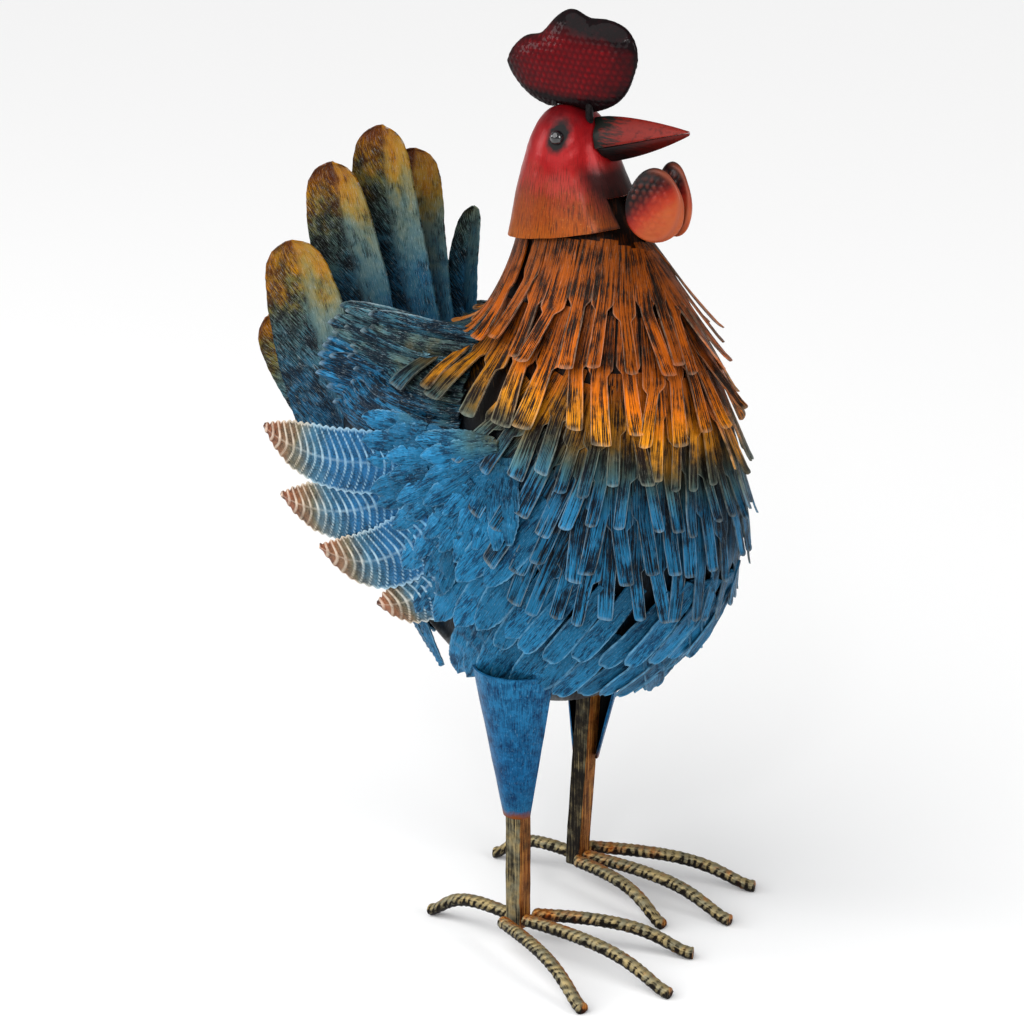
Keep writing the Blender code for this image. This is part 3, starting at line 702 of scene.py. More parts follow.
def build_back():
    """Ribbed leaves on the back, beside the tail and under it."""
    short_leaf = ribbed_leaf("back_leaf", 12.5, 52, LEAF_SHAPE, 4.2, ribs=0.6, slant=0.8, cup=1.4, rows=44)
    vent_leaf = ribbed_leaf("vent_leaf", 15, 58, LEAF_SHAPE, 4.2, ribs=0.6, slant=0.8, cup=1.4, rows=44)
    for name, node, half, count, levels, leaf, length, slot in (
            ("back_leaves", "saddle_row_1", 54, 10, (0, 322, 327.5), short_leaf, 52, "teal_paint"),
            ("rump_leaves", "rump_row", 20, 5, (0, 236, 246), short_leaf, 28, "teal_paint"),
            ("vent_leaves_upper", "vent_row_1", 52, 10, (0, 196, 210), vent_leaf, 58, "blue_paint"),
            ("vent_leaves_lower", "vent_row_2", 58, 9, (0, 158, 168), vent_leaf, 56, "blue_paint")):
        spots = [(turned(degrees), tip_level(turned(degrees), levels), 0, LAYER + number % 3 * 0.7)
                 for number, degrees in enumerate(even(180 - half, 180 + half, count))]
        build_leaves(name, [node], spots, leaf, length, 7, 0.44)


# For each layer on a flank, the height of its tips, the angles it runs between and its leaves.
FLANK_LAYERS = ((163, 66, 118, 6), (198, 72, 118, 5), (224, 76, 124, 5))


def build_belly():
    """Strips with a raised edge that sweep back under the belly, and leaves on the flanks."""
    strip = ribbed_leaf("belly_strip", 13, 62, STRIP_SHAPE, 3.1, ribs=0.12, slant=0.3, cup=-1.1, ridge=0.0,
                        teeth=0.1, rough=0.5, columns=10, rows=28)
    spots = [(degrees, tip_level(degrees, (184, 189, 189)), 38, LAYER + 1.6 + number % 3 * 0.6)
             for number, degrees in enumerate(even(-86, 86, 18))]
    spots += [(degrees, tip_level(degrees, (159, 164, 164)), 42, LAYER + number % 3 * 0.6)
              for number, degrees in enumerate(even(-84, 84, 16))]
    build_leaves("belly_strips", ["belly_row"], spots, strip, 58, 4.5)
    for word, hand in (("right", -1), ("left", 1)):
        leaf = ribbed_leaf("flank_leaf", 20, 66, LEAF_SHAPE, 3.4, ribs=0.3, slant=0.5, rough=0.9, cup=0.6)
        spots = []
        for layer, (level, start, end, count) in enumerate(FLANK_LAYERS):
            spots += [(hand * degrees, level, 40, 0.8 + 1.0 * layer + number % 2 * 0.6)
                      for number, degrees in enumerate(even(start, end, count))]
        build_leaves(f"flank_leaves_{word}", [f"flank_row_{word}"], spots, leaf, 62, 7)


# Wings.
SHOULDER = (12, 300)      # where a wing's feathers meet, forward and up
WING_ROOM = 4.6           # room between the body and the quills
QUILL_START = 64          # how far from the shoulder the quills start
COVERT_LENGTH = 46
# Direction of each quill at root and tip, how far its tip reaches, and half its width.
QUILLS = ((195.5, 188, 182, 17), (210, 200.5, 180, 17.5), (227.5, 212, 160, 17), (242, 229, 146, 15.5))
QUILL_SHAPE = ((0, 0.95), (0.35, 1.08), (0.62, 1.02), (0.80, 0.82), (0.92, 0.46), (1.0, 0.05))


def wing_depth(x, z):
    """Half width of the wing's surface at a place on the side."""
    met = feel((x, -FAR, z), (0, 1, 0))
    body = -met.y if met else 0.0
    free = 73 - 26 * (max(0.0, -x) / 175) ** 2 - 16 * ((z - 262) / 90) ** 2
    return max(body, free) + WING_ROOM * min(1.0, max(0.15, (16 - x) / 40))


def fanned(degrees, reach):
    """A place on the wing, forward and up, by direction and distance from the shoulder."""
    turn = math.radians(degrees)
    return np.array((SHOULDER[0] + reach * math.cos(turn), SHOULDER[1] + reach * math.sin(turn)))


def lay_on_side(pattern, hand, path, depth, lift, rise, twist):
    """A copy of a flat pattern along a path seen from the side, over a given half width."""
    made = bpy.data.objects.new(pattern.name, pattern.data.copy())
    bpy.context.scene.collection.objects.link(made)
    x, y, z = (points_of(pattern) / MM).T
    share = np.clip(y / y.max(), 0, 1)
    points = []
    for across, out, part in zip(x, z, share):
        spot = path(part)
        run = path(part + 0.01) - spot
        run /= np.linalg.norm(run)
        forward, up = spot + hand * across * np.array((-run[1], run[0]))
        away = depth(forward, up) + lift + out + rise * part ** 2 + twist * across * part
        points.append(place(forward, hand * away, up))
    move_points(made, np.array([tuple(point) for point in points]))
    mark(made, x * MM, y * MM, share)
    return made


def lay_on_wing(pattern, hand, degrees, start, length, lift, rise=0.0, twist=0.0, bend=0.0):
    """A copy of a flat pattern that points away from the shoulder and is bent upwards."""
    def path(part):
        """The quill's or leaf's middle line."""
        return fanned(degrees + bend * part ** 2, start + length * part)
    return lay_on_side(pattern, hand, path, wing_depth, lift, rise, twist)


def saddle_depth(x, z):
    """Half width under the saddle leaves, which run on behind the body beside the tail."""
    met = feel((x, -FAR, z), (0, 1, 0))
    return max(-met.y if met else 0.0, float(np.interp(x, (-130, -60, -30), (38, 42, 38))))


def saddle_path(root, tip, bow):
    """A sagging path from root to tip, forward and up."""
    start, end = np.array(root), np.array(tip)

    def path(part):
        """A place on the leaf's middle line."""
        return start + (end - start) * part - np.array((0.0, 4 * bow * part * (1 - part)))
    return path


# For each layer, how many leaves it has, how far forward they lie and how high above the body.
SADDLE_LAYERS = ((9, 6, 2.4), (9, -8, 1.2), (8, -20, 0.2))


def build_saddle(hand, word):
    """Long leaves in three layers that point backwards from the neck to the tail."""
    leaf = ribbed_leaf("saddle_leaf", 11.5, 92, LEAF_SHAPE, 3.4, ribs=0.25, slant=0.8, rough=0.1, cup=2.0,
                       teeth=0.2, columns=10, rows=52)
    leaves = []
    top = 345 if hand < 0 else 332
    for layer, (count, shift, level) in enumerate(SADDLE_LAYERS):
        for number in range(count):
            down = (number + 0.5 * (layer % 2)) / 8
            root = (-36 + shift + 12 * down, top - 54 * down)
            tip = (-110 + shift - 10 * down + draw.uniform(-7, 7),
                   top + 1 - 50 * down + draw.uniform(-4, 5))
            path = saddle_path(root, tip, draw.uniform(0, 5))
            rise = draw.uniform(1, 5)
            twist = draw.uniform(-0.3, 0.1)
            leaves.append(lay_on_side(leaf, hand, path, saddle_depth, level + number % 2 * 0.8, rise, twist))
    row = join(f"saddle_leaves_{word}", leaves)
    note(row, "tint", np.minimum(spray_level(own_measures(points_of(row))), 0.40))
    deliver(row, [f"saddle_{word}"], SADDLE_PAINT)


def quill_paint():
    """Blue at the root, gold and then copper at the tip, with pale ribs."""
    bright = ((0.0, tone(22, 90, 140)), (0.50, tone(36, 100, 146)), (0.64, tone(66, 112, 136)),
              (0.76, tone(112, 108, 88)), (0.87, tone(138, 94, 64)), (0.95, COPPER), (1.0, BARK))
    dark = ((0.0, tone(6, 40, 68)), (0.6, tone(12, 42, 60)), (0.78, tone(44, 38, 32)),
            (1.0, tone(44, 24, 18)))
    pale = ((0.0, tone(104, 164, 200)), (0.62, tone(176, 204, 216)), (0.76, tone(220, 208, 188)),
            (1.0, tone(226, 200, 180)))
    paint = Paint("quill_paint")
    along = paint.sum(paint.noted("along"), paint.spread(paint.blotches(12), 0.3, 0.7, -0.05, 0.05))
    level = paint.blotches(1, paint.grain(0.8, 1.6), detail=5, rough=0.7)
    broad = paint.blotches(9, detail=4)
    level = paint.sum(paint.times(level, 0.6), paint.times(broad, 0.4))
    mask = paint.spread(level, 0.38, 0.58)
    colour = paint.blend(mask, paint.ramp(along, dark), paint.ramp(along, bright))
    rib = paint.spread(paint.noted("rib"), 0.35, 0.85)
    rib = paint.times(rib, paint.spread(paint.blotches(5), 0.3, 0.6, 0.25, 0.85))
    colour = paint.blend(rib, colour, paint.ramp(along, pale))
    worn = paint.times(paint.spread(paint.sum(paint.noted("across"), 0.0, "ABSOLUTE"), 0.9, 0.98), 0.7)
    colour = paint.blend(worn, colour, paint.ramp(along, pale))
    normal = paint.bump(level, 0.25, 0.6)
    return paint.finish(colour, paint.spread(level, 0.3, 0.7, 0.5, 0.36), 0.3, normal)


def build_wing(hand, word):
    """Four ribbed quills under three rows of hammered leaves."""
    quill_finish = bpy.data.materials.get("quill_paint") or quill_paint()
    for number, (degrees, tip_degrees, tip, half) in enumerate(QUILLS):
        length = tip - QUILL_START
        pattern = ribbed_leaf("quill", half * 2, length, QUILL_SHAPE, 6.2, ribs=0.8, slant=0.6, cup=0.8,
                              rough=0.1, columns=18, rows=int(length / 0.6), ridge=0.4, teeth=1.3, sharp=7)
        level = LAYER + (1 - number % 2) * (SHEET + LAYER)
        quill = lay_on_wing(pattern, hand, degrees, QUILL_START, length, level, bend=tip_degrees - degrees)
        quill.name = f"ribbed_quill_{number + 1}_{word}"
        deliver(quill, [f"wing_quill_{number + 1}_{word}"], quill_finish)
    leaf = ribbed_leaf("covert_leaf", 14, COVERT_LENGTH, LEAF_SHAPE, 3.8, ribs=0.5, slant=0.7, cup=1.3,
                       rough=0.9)
    rows = (("covert_leaves_outer", "covert_row_2", even(177, 250, 10), 48, 2.4, 1.8),
            ("covert_leaves_inner", "covert_row_1", even(178, 262, 9), 28, 1.8, 3.4),
            ("shoulder_leaves", None, even(176, 286, 9), 8, 0.8, 5.0))
    for name, node, turns, start, level, rise in rows:
        leaves = []
        for number, degrees in enumerate(turns):
            direction = degrees + draw.uniform(-2, 2)
            away = start + draw.uniform(-5, 5)
            lifted = rise + draw.uniform(-0.3, 1.2)
            twist = draw.uniform(-0.08, 0.08)
            leaves.append(lay_on_wing(leaf, hand, direction, away, COVERT_LENGTH, level + number % 2 * 0.9,
                                      lifted, twist))
        row = join(f"{name}_{word}", leaves)
        note(row, "tint", spray_level(own_measures(points_of(row))))
        deliver(row, [f"{node}_{word}"] if node else [], BLUE_PAINT)


# Tail.
def centre_line(points, run, slots):
    """Middle of a bar at each place along its length."""
    edges = np.linspace(0, run.max(), slots + 1)
    middles = (edges[:-1] + edges[1:]) / 2
    inside = np.clip(np.digitize(run, edges) - 1, 0, slots - 1)
    centres = np.array([points[inside == slot].mean(0) for slot in range(slots)])
    return np.stack([np.interp(run, middles, centres[:, axis]) for axis in range(3)], 1)


def main_directions(points, outward):
    """Unit directions along, across and through a long plate, from its root towards its tip."""
    directions = np.linalg.svd(points - points.mean(0), full_matrices=False)[2]
    along = directions[0] * np.sign(directions[0] @ outward)
    across = directions[1] * np.sign(directions[1] @ np.array((-1.0, 0.1, 0.0)))
    return along, across, np.cross(across, along)


def tail_paint():
    """Blue roots, streaked grey and black middles and golden tips, one half of a blade paler as painted
    light.
    """
    bright = ((0.0, tone(22, 92, 136)), (0.34, tone(34, 96, 132)), (0.54, tone(62, 104, 116)),
              (0.68, tone(88, 110, 100)), (0.78, tone(116, 108, 52)), (0.87, tone(158, 110, 14)),
              (0.95, tone(166, 104, 4)), (1.0, tone(132, 72, 2)))
    dark = ((0.0, tone(4, 26, 44)), (0.5, tone(5, 14, 22)), (0.74, tone(10, 11, 9)),
            (0.88, tone(66, 34, 3)), (1.0, tone(72, 30, 2)))
    paint = Paint("tail_paint")
    along = paint.sum(paint.noted("along"), paint.spread(paint.blotches(16), 0.3, 0.7, -0.11, 0.11))
    streak = paint.blotches(1, paint.grain(0.32, 10), detail=5, rough=0.75)
    patch = paint.blotches(11, detail=4, rough=0.6, warp=0.6)
    level = paint.sum(paint.times(streak, 0.72), paint.times(patch, 0.28))
    # Painted light: the half of each blade that faces the lamps is painted paler.
    light = paint.noted("light")
    level = paint.sum(level, paint.times(light, 0.07))
    mask = paint.spread(level, 0.50, 0.56)
    colour = paint.blend(mask, paint.ramp(along, dark), paint.ramp(along, bright))
    pale = ((0.0, tone(40, 98, 130)), (0.4, tone(66, 108, 118)), (0.66, tone(112, 120, 102)),
            (0.84, tone(152, 126, 58)), (1.0, tone(168, 116, 20)))
    share = paint.times(paint.spread(patch, 0.4, 0.56, 0.1, 0.8), paint.spread(streak, 0.4, 0.55, 0.2, 1.0))
    colour = paint.blend(paint.times(light, share), colour, paint.ramp(along, pale))
    spark = paint.blotches(1, paint.grain(0.4, 5), detail=6, rough=0.75)
    colour = paint.blend(paint.times(paint.spread(spark, 0.55, 0.66), 0.5), colour, SILVER)
    normal = paint.bump(streak, 0.35, 0.8)
    return paint.finish(colour, paint.spread(level, 0.35, 0.6, 0.5, 0.34), 0.4, normal)


BLADE_ROOT = 20           # how far a blade runs on below its solid, under the leaves
# How much wider than its solid a blade is, where it isn't as wide.
WIDER = {"tail_left_1": 1.2, "tail_left_5": 0.85, "tail_right_3": 0.9, "tail_right_4": 1.06}
GREY_BLADE = "tail_left_5"
GREY_SHARE = 0.72         # how far along the colours the grey blade gets, short of the gold
BLADE_SLOTS = 10          # places where a blade's middle is measured
BLADE_SHAPE = ((0, 0.9), (0.25, 1.2), (0.5, 1.28), (0.74, 1.18), (0.87, 1.02), (0.93, 0.86), (0.97, 0.62),
               (0.99, 0.36), (1.0, 0.12))


def tail_blade(node, name):
    """A creased blade with a rounded tip, along the middle line of the solid it stands for."""
    solid = refined(node, name, degrees=9, strength=0.55, levels=2)
    points = points_of(solid)
    along, across, through = main_directions(points, np.array((-0.4, 0.0, 1.0)))
    run = (points - points.mean(0)) @ along
    low = run.min()
    run = (run - low) / MM
    middle_line = centre_line(points, run, BLADE_SLOTS)
    half = np.abs((points - middle_line) @ across).max() / MM * WIDER.get(node, 1.0)
    length = run.max() + BLADE_ROOT
    blade = flat_grid(name, half * 2, length, 16, 70)
    flat = points_of(blade) / MM
    share = flat[:, 1] / length
    side = flat[:, 0] / half
    wave = np.array([noise.noise(Vector((spot[0] / 9, spot[1] / 16, half))) for spot in flat])
    width = leaf_outline(share, BLADE_SHAPE) * half + 0.4 * np.array(
        [noise.noise(Vector((spot[1] / 3, half, 0))) for spot in flat])
    height = 2.6 * (1 - np.abs(side)) - 1.0 + 0.7 * wave
    slots = np.linspace(0, run.max(), BLADE_SLOTS + 1)
    middles = (slots[:-1] + slots[1:]) / 2
    centre = np.array([points[(run >= first) & (run <= last)].mean(0)
                       for first, last in zip(slots[:-1], slots[1:])])
    bend = np.polyfit(middles, (centre - points.mean(0)) @ through, 2)
    sway = np.polyfit(middles, (centre - points.mean(0)) @ across, 2)
    start = points.mean(0) + along * low
    place_along = flat[:, 1] - BLADE_ROOT
    spots = (start + along * place_along[:, None] * MM
             + across * (side * width * MM + np.polyval(sway, place_along))[:, None]
             + through * (height * MM + np.polyval(bend, place_along))[:, None])
    move_points(blade, spots)
    note(blade, "along", share * (GREY_SHARE if node == GREY_BLADE else 1.0))
    # Painted light: the half of the blade turned to the lamps gets the paler paint.
    note(blade, "light", np.clip(side * -4, 0, 1))
    angle = np.where(side < 0, 0.0, math.radians(30))
    set_grain(blade, (flat[:, 0] * np.cos(angle) - flat[:, 1] * np.sin(angle)) * MM + draw.random(),
              (flat[:, 0] * np.sin(angle) + flat[:, 1] * np.cos(angle)) * MM)
    apply_modifier(blade, "SOLIDIFY", thickness=SHEET * MM, offset=-1)
    bpy.data.objects.remove(solid)
    blade.name = name
    return blade


def build_tail():
    """Nine creased blades, and the feather under them, painted black as painted shade."""
    finish = tail_paint()
    blades = [f"tail_right_{number}" for number in range(1, 5)]
    blades += [f"tail_left_{number}" for number in range(1, 6)]
    for node in blades:
        deliver(tail_blade(node, node.replace("tail", "tail_blade")), [node], finish, 25)
    feather = refined("under_tail_feather", "feather_in_painted_shade", degrees=30, strength=0.8, levels=2)
    # The feather under the tail is painted black as painted shade.
    deliver(feather, ["under_tail_feather"], DARK_STEEL)


# Head.
def dimples(first, second, pitch):
    """Height from 0 to 1 of small bumps in a close pattern."""
    row = np.round(second / (pitch * 0.866))
    shift = (row % 2) * 0.5
    column = np.round(first / pitch - shift) + shift
    away = np.hypot(first / pitch - column, (second / (pitch * 0.866) - row) * 0.866)
    return np.clip(1 - (away / 0.46) ** 2, 0, 1) ** 1.5


def waver(points, size, seed=0.0):
    """Slow noise at points in millimetres, from -1 to 1."""
    shift = Vector((seed, seed * 2, seed * 3))
    return np.array([noise.noise(Vector(point) / size + shift) for point in points])


def head_paint():
    """Crimson face that fades to brushed orange at the rim, with a black ring round the eye and painted
    shade at the throat.
    """
    paint = Paint("head_paint")
    level = paint.noted("tint")
    streak = paint.blotches(1, paint.grain(0.6, 9), detail=5, rough=0.65)
    level = paint.sum(level, paint.spread(streak, 0.3, 0.7, -0.07, 0.07))
    level = paint.sum(level, paint.spread(paint.blotches(13), 0.3, 0.7, -0.06, 0.06))
    bright = ((0.0, tone(164, 84, 4)), (0.16, tone(150, 68, 2)), (0.34, tone(136, 54, 14)),
              (0.48, tone(150, 44, 34)), (0.62, tone(150, 20, 22)), (0.86, tone(134, 10, 16)),
              (1.0, tone(84, 10, 16)))
    dark = ((0.0, tone(76, 32, 6)), (0.4, tone(66, 26, 18)), (0.6, tone(98, 8, 14)), (1.0, tone(38, 6, 10)))
    share = paint.spread(streak, 0.36, 0.54)
    share = paint.sum(share, paint.spread(paint.noted("tint"), 0.45, 0.7, 0.0, 0.45), clamp=True)
    colour = paint.blend(share, paint.ramp(level, dark), paint.ramp(level, bright))
    spark = paint.spread(paint.blotches(1, paint.grain(0.4, 2.2), detail=6, rough=0.75), 0.58, 0.68)
    low = paint.spread(paint.noted("tint"), 0.3, 0.55, 0.6, 0.0)
    colour = paint.blend(paint.times(spark, low), colour, tone(216, 150, 70))
    # Painted shade: the front of the head below the beak, in the shade behind the wattles, is painted near
    # black.
    colour = paint.blend(paint.times(paint.noted("throat_shade"), 0.92), colour, tone(24, 12, 12))
    halo = paint.sum(paint.noted("halo"), paint.spread(paint.blotches(4), 0.3, 0.7, -0.12, 0.12))
    colour = paint.blend(paint.spread(halo, 0.28, 0.72), colour, COAL)
    rough = paint.spread(paint.noted("tint"), 0.3, 0.6, 0.45, 0.3)
    normal = paint.bump(streak, 0.25, 0.35)
    normal = paint.bump(paint.blotches(3.5, detail=3), 0.35, 0.4, normal)
    return paint.finish(colour, rough, 0.25, normal, coat=0.12, coat_rough=0.2)


EYE_CENTRE = sum(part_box("eye_right"), Vector()) / 2
HEAD_RIM = 396            # height of the head sheet's lower rim
HEAD_HEIGHT = 74


def build_head():
    """One drawn sheet, a little uneven, with the paint's marks kept for each point."""
    head = refined("head", "head_sheet", degrees=60, levels=3)
    points = points_of(head)
    own = own_measures(points)
    normals = normals_of(head)
    points += normals * (0.30 * waver(own, 9)[:, None] + 0.12 * waver(own, 3, 5.0)[:, None]) * MM
    move_points(head, points)
    note(head, "tint", (own[:, 2] - HEAD_RIM) / HEAD_HEIGHT)
    eye = own_measures(np.array([tuple(EYE_CENTRE)]))[0]
    away = np.sqrt(((own[:, 0] - eye[0]) / 0.92) ** 2 + ((own[:, 2] - eye[2]) / 1.25) ** 2)
    note(head, "halo", np.clip(1.5 - away / 6.4, 0, 1))
    # Painted shade at the throat, on the forward faces low on the head.
    note(head, "throat_shade", np.clip((normals[:, 0] - 0.50) / 0.2, 0, 1)
         * np.clip((HEAD_RIM + 48 - own[:, 2]) / 8, 0, 1))
    turn = np.arctan2(own[:, 1], own[:, 0])
    set_grain(head, turn * 30 * MM, own[:, 2] * MM)
    deliver(head, ["head"], head_paint())


def comb_paint():
    """Deep glossy red in the middle of the comb and almost black round its edge, partly its own paint and
    partly painted shade.
    """
    paint = Paint("comb_lacquer")
    # The edge mark is the comb's own dark rim paint, with painted shade where the pillow turns away from its
    # flat sides and a painted shadow along its foot.
    edge = paint.sum(paint.noted("edge"), paint.spread(paint.blotches(9, detail=3), 0.3, 0.7, -0.12, 0.12))
    bump = paint.noted("dimple")
    # Painted highlight: the tops of the dimples are painted a lighter red.
    red = paint.blend(bump, tone(72, 2, 8), tone(114, 6, 14))
    colour = paint.blend(paint.spread(edge, 0.42, 0.9), red, tone(14, 6, 8))
    grime = paint.spread(paint.blotches(2.4, detail=5), 0.5, 0.68)
    colour = paint.blend(paint.times(grime, 0.5), colour, tone(40, 6, 12))
    normal = paint.bump(paint.blotches(1.6, detail=4), 0.12, 0.4)
    return paint.finish(colour, 0.5, 0.0, normal, coat=0.12, coat_rough=0.1, gloss=0.04)


def build_comb():
    """A pillowed double sheet with dimples on its sides and a smooth dark ridge."""
    comb = refined("comb", "dimpled_comb", degrees=60, levels=3)
    apply_modifier(comb, "REMESH", mode="VOXEL", voxel_size=0.8 * MM)
    apply_modifier(comb, "SMOOTH", factor=0.6, iterations=6)
    points = points_of(comb)
    own = own_measures(points)
    normals = normals_of(comb)
    flat = np.abs(normals[:, 1])
    middle = np.array((1.0, 492.0))
    out = np.hypot((own[:, 0] - middle[0]) / 42, (own[:, 2] - middle[1]) / 27)
    smooth = np.clip((own[:, 2] - 500) / 14, 0, 1) * np.clip((own[:, 0] + 14) / 20, 0, 1)
    shift = 0.5 * waver(own, 6, 9.0)
    height = dimples(own[:, 0] + 0.12 * own[:, 2] + shift, own[:, 2] + shift, 3.7)
    height *= np.clip(flat * 2.2 - 0.5, 0, 1) * (1 - 0.85 * smooth)
    height *= 0.7 + 0.5 * waver(own, 5, 3.0)
    points += normals * (0.42 * height + 0.3 * waver(own, 12))[:, None] * MM
    move_points(comb, points)
    # Painted shadow: a black band along the foot of the comb where it meets the head, and painted shade
    # where the surface turns away from the flat sides.
    below = np.clip((477 - own[:, 2]) / 8, 0, 1)
    note(comb, "edge", np.clip(out * 0.78 + smooth * 0.5 + (1 - flat) * 0.45 + below * 0.6, 0, 1))
    note(comb, "dimple", height)
    deliver(comb, ["comb"], comb_paint(), 60)


def wattle_paint():
    """Orange red at the foot and black at the top, with a paler rim."""
    paint = Paint("wattle_lacquer")
    level = paint.sum(paint.noted("tint"), paint.spread(paint.blotches(7, detail=4), 0.3, 0.7, -0.12, 0.12))
    reds = ((0.0, tone(166, 78, 40)), (0.25, tone(160, 52, 28)), (0.55, tone(128, 28, 18)),
            (0.78, tone(62, 12, 12)), (1.0, tone(12, 7, 8)))
    colour = paint.ramp(level, reds)
    bump = paint.noted("dimple")
    # Painted highlight: the tops of the dimples are painted paler.
    colour = paint.blend(paint.times(bump, 0.2), colour, tone(196, 84, 58))
    colour = paint.blend(paint.noted("rim"), colour, tone(150, 78, 56))
    normal = paint.bump(paint.blotches(1.8, detail=4), 0.12, 0.4)
    return paint.finish(colour, 0.42, 0.05, normal, coat=0.18, coat_rough=0.2)


def build_wattles():
    """Two dished discs with dimples inside a raised rim."""
    finish = wattle_paint()
    for word, hand in (("right", -1), ("left", 1)):
        wattle = refined(f"wattle_{word}", f"dimpled_wattle_{word}", degrees=60, levels=3)
        apply_modifier(wattle, "REMESH", mode="VOXEL", voxel_size=0.6 * MM)
        apply_modifier(wattle, "SMOOTH", factor=0.6, iterations=4)
        points = points_of(wattle)
        own = own_measures(points)
        normals = normals_of(wattle)
        first = (own[:, 0] - 60) / 0.93
        second = own[:, 2] - 425
        out = np.hypot(first / 16.5, second / 21)
        shift = 1.5 * waver(own, 7, 4.0) + 0.5 * waver(own, 3, 7.0)
        height = dimples(first + shift, second + shift, 4.0) * np.clip((0.85 - out) * 4, 0, 1)
        height *= np.clip(0.7 + 0.6 * waver(own, 4, 3.0), 0, 1)
        rim = np.exp(-((out - 0.88) / 0.06) ** 2)
        points += normals * (0.45 * height + 0.55 * rim - 0.5 * np.clip(out - 0.2, 0, 0.55))[:, None] * MM
        move_points(wattle, points)
        # Painted shade: the left wattle, which hangs behind the right one, is painted darker.
        darker = 0.3 if hand > 0 else 0.0
        note(wattle, "tint", np.clip(0.5 + second / 22 - first / 24 + darker, 0, 1))
        note(wattle, "dimple", height)
        note(wattle, "rim", rim * np.clip(0.3 + first / 14, 0, 0.7))
        deliver(wattle, [f"wattle_{word}"], finish, 60)


def beak_paint(name, base, middle, tip):
    """Dark at the base and red towards the tip, with grime."""
    paint = Paint(name)
    streak = paint.blotches(1, paint.grain(1.2, 10), detail=4)
    level = paint.sum(paint.noted("tint"), paint.spread(streak, 0.3, 0.7, -0.16, 0.16))
    colour = paint.ramp(level, ((0.0, base), (0.18, base), (0.36, middle), (1.0, tip)))
    grime = paint.spread(paint.blotches(3, detail=5), 0.52, 0.7)
    colour = paint.blend(paint.times(grime, 0.6), colour, tone(28, 12, 10))
    normal = paint.bump(paint.blotches(2, detail=4), 0.15, 0.5)
    rough = paint.spread(grime, 0.0, 1.0, 0.36, 0.55)
    return paint.finish(colour, rough, 0.1, normal, coat=0.15, coat_rough=0.15)


def build_beak():
    """Two folded sheets, the lower one darker."""
    red = beak_paint("beak_red", tone(14, 18, 14), tone(112, 22, 14), tone(124, 32, 22))
    dark = beak_paint("beak_dark", tone(12, 10, 10), tone(40, 10, 9), tone(96, 20, 14))
    for node, finish, slot in (("beak_upper", red, "red_lacquer"), ("beak_lower", dark, "black_gloss")):
        beak = refined(node, node.replace("beak", "beak_sheet"), degrees=40, strength=0.8, levels=3)
        own = own_measures(points_of(beak))
        reach = own[:, 0] - own[:, 0].min()
        note(beak, "tint", reach / reach.max())
        set_grain(beak, own[:, 2] * MM, own[:, 0] * MM)
        deliver(beak, [node], finish)


def eye_gloss():
    """Black enamel with a wet shine."""
    paint = Paint("eye_gloss")
    colour = paint.ramp(paint.blotches(2), ((0.3, tone(6, 6, 8)), (0.7, tone(22, 20, 24))))
    return paint.finish(colour, 0.12, 0.0, coat=1.0, coat_rough=0.03, gloss=0.5)


def build_eyes():
    """Two round beads."""
    finish = eye_gloss()
    for word in ("right", "left"):
        eye = refined(f"eye_{word}", f"eye_bead_{word}", degrees=80, levels=2)
        deliver(eye, [f"eye_{word}"], finish, 80)


def paint_comb_posts():
    """The two posts keep the shape of their solids."""
    for number in (1, 2):
        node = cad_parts[f"comb_post_{number}"]
        node.data.materials.clear()
        node.data.materials.append(DARK_STEEL)


# Legs.
def leg_paint(name, ribbed):
    """Beige and gold rubbed over black, orange where the brush came from the front."""
    paint = Paint(name)
    grain = paint.grain(0.6, 8) if ribbed else paint.grain(0.45, 34)
    streak = paint.blotches(1, grain, detail=5, rough=0.7)
    patch = paint.blotches(7, detail=4)
    level = paint.sum(paint.times(streak, 0.7), paint.times(patch, 0.3))
    if ribbed:
        level = paint.sum(level, paint.spread(paint.noted("rib"), 0, 0.35, -0.11, 0.02))
        level = paint.sum(level, paint.spread(paint.noted("above"), 0, 1, -0.20, 0.13))
    else:
        level = paint.sum(level, paint.noted("shade"))
    front = paint.sum(paint.noted("front"), paint.spread(patch, 0.3, 0.7, -0.35, 0.35))
    front = paint.spread(front, 0.35, 0.75)
    pale = paint.blend(paint.spread(paint.blotches(5), 0.4, 0.6), tone(128, 122, 98), tone(158, 140, 98))
    warm = paint.blend(paint.spread(streak, 0.45, 0.6), tone(138, 66, 20), tone(190, 134, 66))
    light = paint.blend(front, pale, warm)
    dark = paint.blend(front, tone(22, 18, 14), tone(58, 26, 8))
    colour = paint.blend(paint.spread(level, 0.42, 0.56), dark, light)
    normal = paint.bump(level, 0.35, 0.8)
    return paint.finish(colour, paint.spread(level, 0.35, 0.65, 0.55, 0.36), 0.45, normal)


